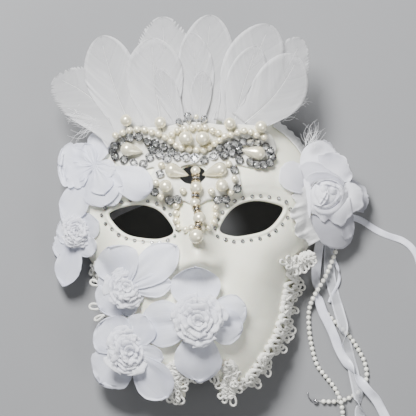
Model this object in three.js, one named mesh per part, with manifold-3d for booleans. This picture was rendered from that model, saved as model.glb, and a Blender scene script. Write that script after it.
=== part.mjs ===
// A white carnival mask lying face up: moulded face shell, feather fan, pearl and stone
// brow piece, fabric flowers, edging lace, ribbons and bead strings.
// Millimetres. +X is the right of the face as seen from the front, +Y runs to the forehead,
// +Z comes up out of the face. The rims at the temples rest on Z = 0.
import * as THREE from "three";
import { mergeVertices } from "three/addons/utils/BufferGeometryUtils.js";
import Module from "manifold-3d";

const wasm = await Module();
wasm.setup();

// Driving dimensions of the face shell
const WALL = 2.6;
const FACE_DEPTH = 58; // table to the middle of the face, nose left out
const DOME_POWER = 2.6; // 2 would be a round dome, more is flatter on top with steeper sides
const BROW_LIFT = 24; // how far the rim rises off the table at forehead and chin
const POLE_Y = -8; // the outline's radii are measured from here
// Radii of the outline every 15 degrees, from under the chin, past the temple, to the forehead
const RIM_RADII = [109, 104.4, 93.2, 84, 75.5, 72.5, 80, 89.5, 98.8, 103.3, 104, 104.5, 104.6];
const NOSE = { top: 34, tip: -17, foot: -31, height: 21, halfWidth: 8 };
const EYE = [
  [61.8, 16.7], [56.5, 7.6], [49, 2], [38, -0.8], [25, -1.6],
  [16.2, 2.6], [21.5, 13.4], [28.5, 19.3], [38.5, 22.2], [51, 21.2],
];
const BROW_HOLE = { x: -1.5, y: 42, halfWidth: 8.5, halfHeight: 7 };
const CHIN_NOTCH = { halfWidth: 12.5, top: -95, foot: -135 };
const GAP = 0.3; // air left between touching pieces

// Driving dimensions of the dressing
const CARD_LIFT = 1.6; // felt card and its glue over the face
const FEATHER_RISE = 50.5; // height of the fan's lowest layer over the table
const FEATHER_STEP = 1.2;
const FEATHER_LAYERS = 5;
const SMALL_PEARL = 2.3;
const STONE = 2.4;
const CLOTH = 0.9;
const RIBBON_THICK = 0.7;

const smooth = (from, to, value) => {
  const t = Math.min(Math.max((value - from) / (to - from), 0), 1);
  return t * t * (3 - 2 * t);
};
const bump = (x, y, atX, atY, wideX, wideY) =>
  Math.exp(-(((x - atX) / wideX) ** 2) - ((y - atY) / wideY) ** 2);
const mirrored = (x, y, atX, atY, wideX, wideY) =>
  bump(Math.abs(x), y, atX, atY, wideX, wideY);

// Smooth value between evenly spaced numbers, at a place counted in steps
function between(values, place) {
  const i = Math.min(Math.floor(place), values.length - 2);
  const t = place - i;
  const at = (k) => values[Math.min(Math.max(k, 0), values.length - 1)];
  const [a, b, c, d] = [at(i - 1), at(i), at(i + 1), at(i + 2)];
  const curve = 2 * a - 5 * b + 4 * c - d + (3 * b - a - 3 * c + d) * t;
  return b + 0.5 * t * (c - a + t * curve);
}

// Radius of the outline at an angle from +X, the same on both sides of the face
function rimRadius(x, y) {
  const angle = Math.atan2(y - POLE_Y, Math.abs(x));
  return between(RIM_RADII, ((angle * 180) / Math.PI + 90) / 15);
}

// 0 at the pole of the face, 1 on its outline
const share = (x, y) => Math.hypot(x, y - POLE_Y) / rimRadius(x, y);

const rimHeight = (x, y) =>
  BROW_LIFT * smooth(0.5, 1, Math.abs(y - POLE_Y) / Math.max(Math.hypot(x, y - POLE_Y), 1e-6));

// Nose, brow, sockets, cheeks, lips and chin, as height over the plain dome
function features(x, y) {
  const along = (NOSE.top - y) / (NOSE.top - NOSE.tip);
  const ridge = y > NOSE.tip
    ? NOSE.height * smooth(0, 1, Math.min(Math.max(along, 0), 1)) ** 0.85
    : NOSE.height * (1 - smooth(0, 1, (NOSE.tip - y) / (NOSE.tip - NOSE.foot)));
  const wide = NOSE.halfWidth + 3.5 * Math.min(Math.max(along, 0), 1);
  const nose = ridge * Math.exp(-((x / wide) ** 2));
  const wings = 6.5 * mirrored(x, y, 11.5, -22, 6, 7);
  const brow = 4.5 * mirrored(x, y, 33, 36, 34, 11);
  const socket = -7 * mirrored(x, y, 36, 12, 22, 15);
  const cheek = 5.5 * mirrored(x, y, 45, -24, 20, 22);
  const hollow = -3 * mirrored(x, y, 44, -62, 16, 20);
  const mouth = 5 * bump(x, y, 0, -62, 30, 20);
  const lips = 3.5 * bump(x, y, 0, -56, 19, 4.5) + 4 * bump(x, y, 0, -67, 16, 4.5);
  const parting = -3 * bump(x, y, 0, -61, 27, 2.6);
  const chin = 5 * bump(x, y, 0, -90, 22, 13);
  return nose + wings + brow + socket + cheek + hollow + mouth + lips + parting + chin;
}

function faceHeight(x, y) {
  const out = Math.min(share(x, y), 1);
  const rim = rimHeight(x, y);
  const dome = Math.sqrt(Math.max(1 - out ** DOME_POWER, 0));
  return rim + (FACE_DEPTH - rim) * dome + features(x, y) * (1 - out ** 6);
}

// What flowers and lace lie on: the face, with its steep side eased off and carried on past the rim
function dressHeight(x, y) {
  const out = share(x, y);
  const eased = Math.min(1, 0.9 / Math.max(out, 1e-6));
  const inX = x * eased;
  const inY = POLE_Y + (y - POLE_Y) * eased;
  return Math.max(faceHeight(inX, inY) - 0.55 * Math.hypot(x - inX, y - inY), 5);
}

const fanHeight = (x, y) => FEATHER_RISE - 0.0022 * x * x + 0.04 * (y - 75);

// What the brow piece lies on: the face, stepping up over the feather roots
function browHeight(x, y) {
  const face = faceHeight(x, y) + CARD_LIFT;
  const roots = fanHeight(x, y) + FEATHER_LAYERS * FEATHER_STEP + CARD_LIFT;
  return face + smooth(54, 70, y) * Math.max(roots - face, 0);
}

// Closed geometry from points and faces, turned so that its faces point out
function closedGeometry(points, faces) {
  let volume = 0;
  for (const [a, b, c] of faces)
    volume += points[a].dot(new THREE.Vector3().crossVectors(points[b], points[c]));
  const turned = volume < 0 ? faces.map(([a, b, c]) => [a, c, b]) : faces;
  const geometry = new THREE.BufferGeometry();
  const flat = points.flatMap((p) => p.toArray());
  geometry.setAttribute("position", new THREE.Float32BufferAttribute(flat, 3));
  geometry.setIndex(turned.flat());
  return geometry;
}

function edgeWall(faces, loop, lower) {
  loop.forEach((a, k) => {
    const b = loop[(k + 1) % loop.length];
    faces.push([a, lower + a, lower + b], [a, lower + b, b]);
  });
}

// A sheet with an upper and a lower grid of points, closed around its edge
function slab(upper, lower) {
  const rows = upper.length;
  const columns = upper[0].length;
  const count = rows * columns;
  const at = (i, j) => i * columns + j;
  const faces = [];
  for (let i = 0; i < rows - 1; i++) {
    for (let j = 0; j < columns - 1; j++) {
      const [a, b, c, d] = [at(i, j), at(i, j + 1), at(i + 1, j + 1), at(i + 1, j)];
      faces.push([a, b, c], [a, c, d]);
      faces.push([count + a, count + c, count + b], [count + a, count + d, count + c]);
    }
  }
  const loop = [];
  for (let j = 0; j < columns - 1; j++) loop.push(at(0, j));
  for (let i = 0; i < rows - 1; i++) loop.push(at(i, columns - 1));
  for (let j = columns - 1; j > 0; j--) loop.push(at(rows - 1, j));
  for (let i = rows - 1; i > 0; i--) loop.push(at(i, 0));
  edgeWall(faces, loop, count);
  return closedGeometry([...upper.flat(), ...lower.flat()], faces);
}

// A round sheet: a middle point and rings, above and below, closed around its edge
function disc(upper, lower) {
  const spokes = upper.rings[0].length;
  const count = 1 + upper.rings.length * spokes;
  const at = (ring, k) => 1 + ring * spokes + (k % spokes);
  const faces = [];
  for (let k = 0; k < spokes; k++) {
    faces.push([0, at(0, k), at(0, k + 1)]);
    faces.push([count, count + at(0, k + 1), count + at(0, k)]);
    for (let r = 0; r < upper.rings.length - 1; r++) {
      const [a, b, c, d] = [at(r, k), at(r + 1, k), at(r + 1, k + 1), at(r, k + 1)];
      faces.push([a, b, c], [a, c, d]);
      faces.push([count + a, count + c, count + b], [count + a, count + d, count + c]);
    }
  }
  const loop = Array.from({ length: spokes }, (_, k) => at(upper.rings.length - 1, k));
  edgeWall(faces, loop, count);
  const points = [upper.middle, ...upper.rings.flat(), lower.middle, ...lower.rings.flat()];
  return closedGeometry(points, faces);
}

// Cuts
function solidOf(geometry) {
  const bare = new THREE.BufferGeometry();
  const plain = geometry.index ? geometry.toNonIndexed() : geometry;
  bare.setAttribute("position", plain.getAttribute("position"));
  const merged = mergeVertices(bare, 1e-3);
  return new wasm.Manifold(new wasm.Mesh({
    numProp: 3,
    vertProperties: new Float32Array(merged.attributes.position.array),
    triVerts: new Uint32Array(merged.index.array),
  }));
}

function geometryOf(solid) {
  const mesh = solid.getMesh();
  const geometry = new THREE.BufferGeometry();
  geometry.setAttribute("position", new THREE.Float32BufferAttribute(mesh.vertProperties, 3));
  geometry.setIndex(Array.from(mesh.triVerts));
  return geometry;
}

const cut = (geometry, tools) =>
  geometryOf(tools.map(solidOf).reduce((left, tool) => left.subtract(tool), solidOf(geometry)));

// A straight prism through the whole face, on a closed outline
function through(outline) {
  const margin = 20;
  const geometry = new THREE.ExtrudeGeometry(new THREE.Shape(outline), {
    depth: FACE_DEPTH + NOSE.height + 3 * margin, bevelEnabled: false, steps: 1,
  });
  return geometry.translate(0, 0, -margin);
}

function roundOutline(points, count) {
  const path = points.map(([x, y]) => new THREE.Vector3(x, y, 0));
  const curve = new THREE.CatmullRomCurve3(path, true, "centripetal");
  return curve.getPoints(count).slice(0, count).map((p) => new THREE.Vector2(p.x, p.y));
}

// Face shell
function faceShell() {
  const spokes = 36;
  const rings = 11;
  const outer = { middle: new THREE.Vector3(0, POLE_Y, faceHeight(0, POLE_Y)), rings: [] };
  for (let r = 1; r <= rings; r++) {
    const lean = (Math.PI / 2) * (r / rings) ** 1.1;
    const out = Math.sin(lean) ** (2 / DOME_POWER);
    outer.rings.push(Array.from({ length: spokes }, (_, k) => {
      const angle = (2 * Math.PI * k) / spokes;
      const [dx, dy] = [Math.cos(angle), Math.sin(angle)];
      const reach = out * rimRadius(dx, POLE_Y + dy);
      const [x, y] = [reach * dx, POLE_Y + reach * dy];
      return new THREE.Vector3(x, y, faceHeight(x, y));
    }));
  }
  const rim = outer.rings[rings - 1];
  rim.forEach((p) => { p.z = rimHeight(p.x, p.y); });
  const inner = {
    middle: outer.middle.clone().setZ(outer.middle.z - WALL),
    rings: outer.rings.map((ring, r) => ring.map((p) => {
      if (r === rings - 1) {
        const inward = new THREE.Vector3(-p.x, POLE_Y - p.y, 0).setLength(WALL);
        return p.clone().add(inward);
      }
      return p.clone().addScaledVector(faceNormal(p.x, p.y), -WALL);
    })),
  };
  const eyes = [1, -1].map((side) =>
    through(roundOutline(EYE.map(([x, y]) => [side * x, y]), 22)));
  const { x, y, halfWidth, halfHeight } = BROW_HOLE;
  const hole = through(roundOutline([
    [x - halfWidth, y - halfHeight / 2], [x, y - halfHeight], [x + halfWidth, y - halfHeight / 2],
    [x + halfWidth, y + halfHeight / 2], [x, y + halfHeight], [x - halfWidth, y + halfHeight / 2],
  ], 10));
  const notch = through([
    [-CHIN_NOTCH.halfWidth, CHIN_NOTCH.foot], [CHIN_NOTCH.halfWidth, CHIN_NOTCH.foot],
    [CHIN_NOTCH.halfWidth, CHIN_NOTCH.top - 7], [0.6 * CHIN_NOTCH.halfWidth, CHIN_NOTCH.top - 1],
    [0, CHIN_NOTCH.top], [-0.6 * CHIN_NOTCH.halfWidth, CHIN_NOTCH.top - 1],
    [-CHIN_NOTCH.halfWidth, CHIN_NOTCH.top - 7],
  ].map(([px, py]) => new THREE.Vector2(px, py)));
  return cut(disc(outer, inner), [...eyes, hole, notch]);
}

function faceNormal(x, y) {
  const step = 0.5;
  const slopeX = (faceHeight(x + step, y) - faceHeight(x - step, y)) / (2 * step);
  const slopeY = (faceHeight(x, y + step) - faceHeight(x, y - step)) / (2 * step);
  return new THREE.Vector3(-slopeX, -slopeY, 1).normalize();
}

// A petal, feather or leaf: a thin blade from root to tip, laid on a surface.
// full is where along it the blade is widest, cup lifts its edges, rise lifts its tip.
function blade(surface, { root, tip, width, lift, full = 0.62, thick = CLOTH, cup = 0,
  rise = 0, bow = 0, neck = 0.3, roundness = 0.62, stations = 5, columns = 3 }) {
  const [dx, dy] = [tip[0] - root[0], tip[1] - root[1]];
  const length = Math.hypot(dx, dy);
  const [sideX, sideY] = [-dy / length, dx / length];
  const power = Math.log(0.5) / Math.log(full);
  const grid = (drop) => Array.from({ length: stations + 1 }, (_, i) => {
    const u = Math.sin((Math.PI / 2) * (i / stations));
    const belly = Math.sin(Math.PI * u ** power) ** roundness;
    const least = u < full ? neck : 0.14;
    const half = (width / 2) * Math.max(belly, least);
    const middle = bow * Math.sin(Math.PI * u);
    return Array.from({ length: columns }, (_, j) => {
      const v = (2 * j) / (columns - 1) - 1;
      const across = v * half + middle;
      const x = root[0] + u * dx + across * sideX;
      const y = root[1] + u * dy + across * sideY;
      return new THREE.Vector3(x, y, surface(x, y) + lift + cup * v * v * belly + rise * u * u - drop);
    });
  });
  return slab(grid(0), grid(thick));
}

// Feathers of the fan: root, tip, width, bow, layer in the stack
const FEATHERS = {
  feather_left_outer: [[-52, 72], [-96, 114], 41, -6, 1],
  feather_left_broad: [[-43, 75], [-62.5, 141], 37, 2, 2],
  feather_left_round: [[-22, 76], [-27, 138], 40, 1, 3],
  feather_left_back: [[-17, 77], [-19, 153], 42, 0, 0],
  feather_centre_back: [[4, 77], [15, 153], 38, 0, 1],
  feather_centre_front: [[2, 77], [1, 141], 25, -2, 2],
  feather_right_tall: [[26, 76], [56, 145], 41, 1, 2],
  feather_right_middle: [[28, 75], [46, 130], 26, 1, 3],
  feather_right_back: [[36, 73], [78, 135], 33, -3, 0],
  feather_right_front: [[36, 77], [75, 122], 38, -4, 4],
  feather_small_left: [[-9, 79], [-24, 117], 15, 0, 4],
  feather_small_right: [[4, 79], [8, 114], 15, 0, 3],
};

function feather([root, tip, width, bow, layer]) {
  return blade(fanHeight, {
    root, tip, width, bow, lift: (layer + 1) * FEATHER_STEP, full: 0.58, thick: 0.8,
    neck: 0.62, roundness: 0.5,
  });
}

// Round things: a pearl, and a drop pearl lying along its axis
function pearl(x, y, radius, lift = 0) {
  return new THREE.SphereGeometry(radius, 7, 4).rotateX(Math.PI / 2)
    .translate(x, y, browHeight(x, y) + GAP + radius + lift);
}

function dropPearl(bulb, tip, radius, lift) {
  const length = Math.hypot(tip[0] - bulb[0], tip[1] - bulb[1]);
  const profile = [[0, -radius], [0.8, -0.55], [1, 0.1], [0.72, 0.75]].map(([r, z], i) =>
    new THREE.Vector2(r * radius, i ? z * radius : z));
  profile.push(new THREE.Vector2(0.3 * radius, 0.75 * length), new THREE.Vector2(0, length));
  const turn = Math.atan2(tip[1] - bulb[1], tip[0] - bulb[0]);
  return new THREE.LatheGeometry(profile, 7).rotateZ(-Math.PI / 2).rotateZ(turn)
    .translate(bulb[0], bulb[1], browHeight(...bulb) + radius + GAP + lift);
}

function ringAround(centre, along, size, sides) {
  const side = new THREE.Vector3(-along.y, along.x, 0).normalize();
  const up = new THREE.Vector3().crossVectors(along, side).normalize();
  return Array.from({ length: sides }, (_, k) => {
    const angle = (2 * Math.PI * (k + 0.5)) / sides;
    return centre.clone().addScaledVector(side, size * Math.cos(angle))
      .addScaledVector(up, size * Math.sin(angle));
  });
}

// Beads on one thread, each touching the next: a tube that swells at every bead
function beadRow(places, radius, surface, sides, lift = GAP) {
  const path = places.map(([x, y]) => new THREE.Vector3(x, y, surface(x, y) + lift + radius));
  const rings = [];
  const ring = (centre, along, size) => rings.push(ringAround(centre, along, size, sides));
  path.forEach((p, i) => {
    const before = path[Math.max(i - 1, 0)];
    const after = path[Math.min(i + 1, path.length - 1)];
    const along = after.clone().sub(before).normalize();
    if (i === 0) ring(p.clone().addScaledVector(along, -0.9 * radius), along, 0.4 * radius);
    ring(p, along, radius);
    const onward = i < path.length - 1
      ? after.clone().add(p).multiplyScalar(0.5)
      : p.clone().addScaledVector(along, 0.9 * radius);
    ring(onward, i < path.length - 1 ? after.clone().sub(p).normalize() : along, 0.4 * radius);
  });
  return tube(rings);
}

function tube(rings) {
  const sides = rings[0].length;
  const last = (rings.length - 1) * sides;
  const faces = [];
  for (let r = 0; r < rings.length - 1; r++) {
    for (let k = 0; k < sides; k++) {
      const [a, b] = [r * sides + k, r * sides + ((k + 1) % sides)];
      faces.push([a, b, b + sides], [a, b + sides, a + sides]);
    }
  }
  for (let k = 1; k < sides - 1; k++) {
    faces.push([0, k + 1, k], [last, last + k, last + k + 1]);
  }
  return closedGeometry(rings.flat(), faces);
}

// Brow piece: a shaped card, with the opening above the nose
const CARD_MIDDLE = [0, 54];
const CARD_EDGE = [
  [0, 78], [18, 72], [32, 75], [46, 73.5], [55.5, 66], [57.5, 58], [52.5, 49.5], [42, 45.5], [28, 48],
  [31, 41], [31, 31], [20, 25], [8, 24],
];
function browCard() {
  const thick = 1;
  const lift = 0.5;
  const left = CARD_EDGE.slice(1).map(([x, y]) => [-x, y]).reverse();
  const edge = [...CARD_EDGE, [0, 20], ...left];
  const [middleX, middleY] = CARD_MIDDLE;
  const point = (x, y, drop) => new THREE.Vector3(x, y, browHeight(x, y) + lift - drop);
  const sheet = (drop) => ({
    middle: point(middleX, middleY, drop),
    rings: [0.35, 0.7, 1].map((share) => edge.map(([x, y]) =>
      point(middleX + share * (x - middleX), middleY + share * (y - middleY), drop))),
  });
  const { x, y } = BROW_HOLE;
  const opening = through(roundOutline([
    [x - 9, y - 2], [x, y - 7.5], [x + 9, y - 2], [x + 9, y + 5], [x, y + 7.5], [x - 9, y + 5],
  ], 9));
  return cut(disc(sheet(0), sheet(thick)), [opening]);
}

const BROW_PEARLS = [
  [-54.5, 71.3], [-49.4, 73.1], [-44.4, 74.5], [-39.1, 75], [-33.9, 74.4], [-29.1, 72.6],
  [-24.5, 71.3], [-19.9, 68.6], [-16, 66], [-12.3, 62.9], [-8.7, 61.1], [-3.6, 60], [1.7, 59.3],
  [6.6, 59], [10.6, 60.7], [14.4, 63.1], [18, 65.4], [21.6, 68], [25.9, 69], [30.6, 70.4],
  [35.3, 71.4], [40, 70.5], [43.6, 68.3], [49.2, 66.6],
];
const CROWN_PEARLS = [
  [-15.1, 70.6], [-11.2, 73.1], [-6.3, 74.4], [-1, 74.8], [3.9, 75.1], [8.4, 74.7], [13.3, 72.4],
  [17.4, 70.6],
];
const STONE_CHAIN = [
  [-56, 63.4], [-50.4, 66.9], [-44.2, 68.1], [-37.6, 68.6], [-31.9, 67.1], [-26.3, 65.2],
  [-21.5, 61.8], [-16.2, 58.2], [-12, 54.4], [-6.6, 53.6], [0.6, 53.2], [7.4, 52.5],
  [13.1, 54.2], [17.8, 58.2], [23, 61.6], [27.8, 63.8], [33.2, 65.3], [37.9, 65], [43.5, 63.6],
  [49.3, 61], [53.1, 57], [52.5, 51.5], [47.7, 47.4], [42, 47.2], [37, 49.7], [31.4, 51.8],
  [26.4, 55.4],
];
const STONE_CHAIN_LEFT = [
  [-54.2, 57.2], [-48.6, 54], [-42.5, 51.7], [-36, 50], [-31.5, 54.2], [-28.6, 59], [-23.8, 56],
  [-19.4, 52.4],
];
const SINGLE_PEARLS = {
  pearl_top_far_left: [-46.6, 81.6, 4.2], pearl_top_left: [-22.8, 79.2, 4.2],
  pearl_top_right: [25.5, 76.9, 4.2], pearl_top_far_right: [47.2, 74, 4.2],
  pearl_centre_left: [-5.5, 67.8, 4.9], pearl_centre_right: [6.3, 67.2, 4.9],
  pearl_wing_left: [-20.6, 34.8, 4.5], pearl_wing_right: [18.5, 33.9, 4.5],
};
const PEARL_COLUMN = [
  [0.5, 44.8, 3.3], [0.6, 33.1, 4.5], [-0.6, 22.4, 3.6], [2.2, 11.7, 4.5], [-0.5, -0.6, 5.1],
];
const CHAIN_NOSE_LEFT = [[-13.7, 20.9], [-14.2, 15.6], [-14.1, 10.6], [-12.4, 6]];
const CHAIN_NOSE_RIGHT = [[13.6, 18.6], [13.5, 13.7], [12.4, 8.8]];
const DROPS = {
  drop_pearl_left: [[-46.4, 61.4], [-36.4, 59.4], 4.9, 1.8],
  drop_pearl_right: [[44.8, 55.6], [33.6, 58.2], 4.9, 1.8],
  drop_pearl_wing_left: [[-15.9, 46], [-4.9, 41.8], 4.9, 1.8],
  drop_pearl_wing_right: [[17.7, 45.4], [5.9, 41.8], 4.9, 1.8],
};

// Pearls down the bridge of the nose, with a small stone ring between each two
function pearlColumn() {
  const sides = 7;
  const places = PEARL_COLUMN.map(([x, y, radius]) => {
    return { centre: new THREE.Vector3(x, y, browHeight(x, y) + 0.9 + radius), radius };
  });
  const rings = [];
  places.forEach(({ centre, radius }, i) => {
    const from = places[Math.max(i - 1, 0)].centre;
    const to = places[Math.min(i + 1, places.length - 1)].centre;
    const along = to.clone().sub(from).normalize();
    for (const [step, size] of [[-0.96, 0.3], [-0.62, 0.78], [0, 1], [0.62, 0.78], [0.96, 0.3]]) {
      const middle = centre.clone().addScaledVector(along, step * radius);
      rings.push(ringAround(middle, along, size * radius, sides));
    }
  });
  return tube(rings);
}

// A whorl of petals grown together at the middle: a thin sheet with a lobed edge.
// Each petal is given by its angle, length and width.
function whorl({ at, petals, lift, cup = 1.4, rise = 0, spokes = 24 }) {
  const lobes = petals.map(([angle, length, width]) => ({
    turn: THREE.MathUtils.degToRad(angle), length, spread: Math.atan2(width / 2, 0.58 * length),
  }));
  const shortest = Math.min(...lobes.map((lobe) => lobe.length));
  const reachAt = (angle) => Math.max(0.5 * shortest, ...lobes.map(({ turn, length, spread }) => {
    const off = Math.abs(Math.atan2(Math.sin(angle - turn), Math.cos(angle - turn))) / spread;
    return length * Math.max(1 - 0.42 * off ** 2.4, 0);
  }));
  const point = (share, k, drop) => {
    const angle = (2 * Math.PI * k) / spokes + lobes[0].turn;
    const reach = reachAt(angle);
    const x = at[0] + share * reach * Math.cos(angle);
    const y = at[1] + share * reach * Math.sin(angle);
    const fold = cup * share * (k % 2 ? 1 : 0);
    const z = dressHeight(x, y) + lift + CLOTH + fold + rise * share * share - drop;
    return new THREE.Vector3(x, y, z);
  };
  const sheet = (drop) => ({
    middle: new THREE.Vector3(...at, dressHeight(...at) + lift + CLOTH - drop),
    rings: [0.4, 0.75, 1].map((share) =>
      Array.from({ length: spokes }, (_, k) => point(share, k, drop))),
  });
  return disc(sheet(0), sheet(CLOTH));
}

// The gathered heart of a flower: a low crumpled dome
function ruffle({ at, radius, height, lift, folds = 5 }) {
  const spokes = 2 * folds;
  const sheet = (levelAt) => ({
    middle: new THREE.Vector3(...at, dressHeight(...at) + lift + levelAt(0, 0)),
    rings: [0.55, 1].map((share) => Array.from({ length: spokes }, (_, k) => {
      const angle = (2 * Math.PI * k) / spokes;
      const reach = radius * share * (k % 2 ? 0.84 : 1.06);
      const x = at[0] + reach * Math.cos(angle);
      const y = at[1] + reach * Math.sin(angle);
      return new THREE.Vector3(x, y, dressHeight(x, y) + lift + levelAt(share, k));
    })),
  });
  const crumpled = (share, k) => height * (Math.sqrt(1 - 0.72 * share ** 2) + (k % 2 ? -0.2 : 0.1));
  return disc(sheet(crumpled), sheet(() => 0));
}

const FLOWERS = {
  flower_cheek: {
    at: [-49.9, -35.2], lift: 2.2,
    petals: [[112, 30, 32], [38, 46, 28], [4, 31, 20], [215, 24, 24], [268, 18, 13], [165, 20, 20]],
  },
  flower_mouth: {
    at: [-1.2, -59.2], lift: 4.6,
    petals: [[92, 37, 35], [358, 33, 32], [268, 44, 34], [184, 40, 32]],
  },
  flower_chin: {
    at: [-49.9, -79.2], lift: 7,
    petals: [[137, 28, 30], [225, 31, 32], [307, 42, 27], [345, 23, 14], [62, 27, 24]],
  },
  flower_cheek_outer: {
    at: [-84.5, 5.3], lift: 1,
    petals: [[184, 14, 17], [254, 39, 19], [232, 22, 20], [20, 17, 18], [80, 15, 18], [300, 20, 16]],
  },
  flower_temple: {
    at: [-70, 51], lift: 3.4,
    petals: [[78, 26, 19], [140, 21, 20], [176, 25, 26], [240, 43, 22], [290, 31, 24], [332, 42, 23]],
  },
};
const RUFFLES = {
  flower_cheek_heart: { at: [-49.9, -35.2], radius: 12, height: 7, lift: 5.6 },
  flower_mouth_heart: { at: [-1.5, -59.4], radius: 15.5, height: 8.5, lift: 8.7, folds: 6 },
  flower_chin_heart: { at: [-49.9, -79.2], radius: 15, height: 8.5, lift: 10.2, folds: 6 },
  flower_cheek_outer_heart: { at: [-84.5, 5.3], radius: 9, height: 6, lift: 3.8 },
};

// Rose at the right temple: spreading petals, cupped petals, wound heart
const ROSE = [94, 30];
function roseOuter() {
  return whorl({
    at: ROSE, lift: 0.8, spokes: 32,
    petals: [[90, 35, 34], [42, 27, 30], [-6, 28, 32], [-50, 34, 34], [-95, 43, 30], [-140, 35, 26],
      [178, 30, 26], [135, 32, 30]],
  });
}
function roseMiddle() {
  return whorl({
    at: ROSE, lift: 4, cup: 2.5, rise: 5,
    petals: [[70, 25, 27], [10, 22, 26], [-50, 24, 27], [-115, 23, 26], [175, 22, 27], [122, 24, 26]],
  });
}
function roseHeart() {
  return ruffle({ at: ROSE, radius: 12, height: 13, lift: 8.2, folds: 6 });
}

// Edging lace: a band against the rim, with a scalloped outer edge
function laceBand({ angles, inner = 0.5, reach = 6, scallops, lift = 2, thick = 1.6 }) {
  const steps = scallops * 2;
  const grid = (drop) => Array.from({ length: steps + 1 }, (_, i) => {
    const angle = THREE.MathUtils.degToRad(angles[0] + ((angles[1] - angles[0]) * i) / steps);
    const [dx, dy] = [Math.cos(angle), Math.sin(angle)];
    const rim = rimRadius(dx, POLE_Y + dy);
    const width = i % 2 ? reach : 0.55 * reach;
    return [inner, inner + width].map((out) => {
      const [x, y] = [(rim + out) * dx, POLE_Y + (rim + out) * dy];
      return new THREE.Vector3(x, y, rimHeight(x, y) + lift + thick - drop);
    });
  });
  return slab(grid(0), grid(thick));
}

// Leaves of lace beside the notch under the chin
const LACE_LEAVES = [
  ["lace_leaf_right", [17.5, -92], [21, -119]],
  ["lace_leaf_left", [-19.5, -91], [-15, -117]],
];

// Free ribbons and bead strings, as routes over the table: x, y and height of the middle
const ROUTES = {
  tie_ribbon_right: {
    width: 4.6, steps: 7, route: [
      [98, 9.4, 2], [104.7, 9.2, 2], [108.8, 8.8, 1.4], [112.8, 7.9, 0.9], [116.8, 6.1, 0.7],
      [120.6, 3.6, 0.7], [124.6, 0.7, 0.7], [128.8, -2, 0.7], [132.8, -4.1, 0.7],
      [136.8, -5.8, 0.7], [141.2, -7.3, 0.7], [145.4, -9, 0.7], [150.5, -12.8, 0.7],
      [154.6, -18.5, 0.7], [156.6, -25, 0.7],
    ],
  },
  tie_ribbon_left: {
    width: 4.6, steps: 7, route: [
      [-78, 4, 1.4], [-75, 5.4, 1.4], [-72, 7, 1.4], [-68.5, 8.9, 1], [-65, 11, 0.7],
      [-61, 13.8, 0.7], [-57, 16.5, 0.7], [-52.5, 18.7, 0.7], [-48, 20.5, 0.7],
      [-44, 22.1, 0.7], [-40, 23.5, 0.7], [-35, 24.9, 0.7], [-30, 26, 0.7], [-25, 26.9, 0.7],
      [-20, 27.6, 0.7],
    ],
  },
  streamer_satin: {
    width: 6.6, steps: 15, route: [
      [88.2, -3, 4.3], [86.4, -10, 4.3], [84.4, -20, 4.3], [83.1, -35.7, 4.3], [84, -45, 4.3],
      [87.1, -57.5, 4.3], [91, -66, 4.3], [95, -76, 4.2], [99.5, -88, 3.4], [106.7, -99.5, 4.2],
      [110.8, -105.5, 5.7], [114.7, -111, 5.9], [118.8, -116, 5.4], [122.8, -121, 3.2],
      [127.4, -130, 0.8], [133, -143, 0.8],
    ],
  },
  streamer_organza: {
    width: 7.4, steps: 14, route: [
      [94, -8, 0.8], [93, -14, 0.8], [92.8, -20, 0.8], [93.4, -33, 0.8], [96.8, -49.4, 0.9],
      [98.6, -57, 3],
      [101, -67, 5.1], [102.8, -78, 4.4], [104.6, -87, 1], [106.8, -96, 0.9], [108.5, -106, 3],
      [109.8, -114, 4.4], [110.6, -122, 3.2], [111.2, -132, 0.7], [111.8, -146, 0.7],
    ],
  },
  ribbon_thin: {
    width: 2.6, steps: 6, route: [
      [94.6, -7, 1.9], [94.6, -10.4, 1.9], [95, -14, 1.9], [95.8, -17.9, 1.9], [97, -22, 1.9],
      [98.6, -26.2, 1.9], [99.6, -29.4, 1.9], [99.9, -32.4, 1.9], [99.5, -35.6, 1.9],
      [98.4, -39, 1.9], [96.9, -41.8, 1.9], [95.4, -44.3, 1.9], [94, -46.6, 1.9],
      [92.9, -48.8, 1.9], [92, -51, 1.9],
    ],
  },
  bead_string_long: {
    width: 3.3, steps: 17, bead: true, route: [
      [100.5, -7, 4.8], [98, -14.5, 4.8], [95.6, -20.5, 4.8], [90, -32.4, 6.2], [84.8, -40.6, 7.4],
      [79.8, -49.2, 5.6], [77.4, -57.2, 2.2], [77, -66, 1.7], [78.3, -80, 1.7], [82, -95.2, 1.7],
      [87.4, -103, 1.7], [93, -110.5, 2.1], [96.3, -117, 4.8], [97.8, -121.5, 5.8],
      [98.7, -127, 4.6], [99.2, -134, 1.9], [99.4, -146, 1.7],
    ],
  },
  bead_string_crossed: {
    width: 3.3, steps: 14, bead: true, route: [
      [88, -5, 1.7], [85.8, -12, 1.7], [84, -22, 1.7], [83, -36, 1.7], [85, -50, 1.7],
      [91, -60, 1.7], [99, -68.5, 1.7], [107.4, -78.2, 1.7], [112, -86, 1.7], [115.6, -94, 1.7],
      [116.9, -104, 1.7], [114.2, -111.5, 1.7], [107.5, -117.5, 1.7], [99.7, -120.8, 1.7],
      [91.1, -121.6, 1.7], [82, -120.8, 1.7],
    ],
  },
};

function cordTube({ width, steps, bead, route }) {
  const path = new THREE.CatmullRomCurve3(
    route.map(([x, y, z]) => new THREE.Vector3(x, y, z)), false, "centripetal");
  const half = bead ? width / 2 : RIBBON_THICK / 2;
  const section = Array.from({ length: 8 }, (_, k) => {
    const angle = (Math.PI * (2 * k + 1)) / 8;
    return new THREE.Vector2(half * Math.cos(angle), (width / 2) * Math.sin(angle));
  });
  return new THREE.ExtrudeGeometry(new THREE.Shape(section), {
    extrudePath: path, steps, bevelEnabled: false,
  });
}

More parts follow.
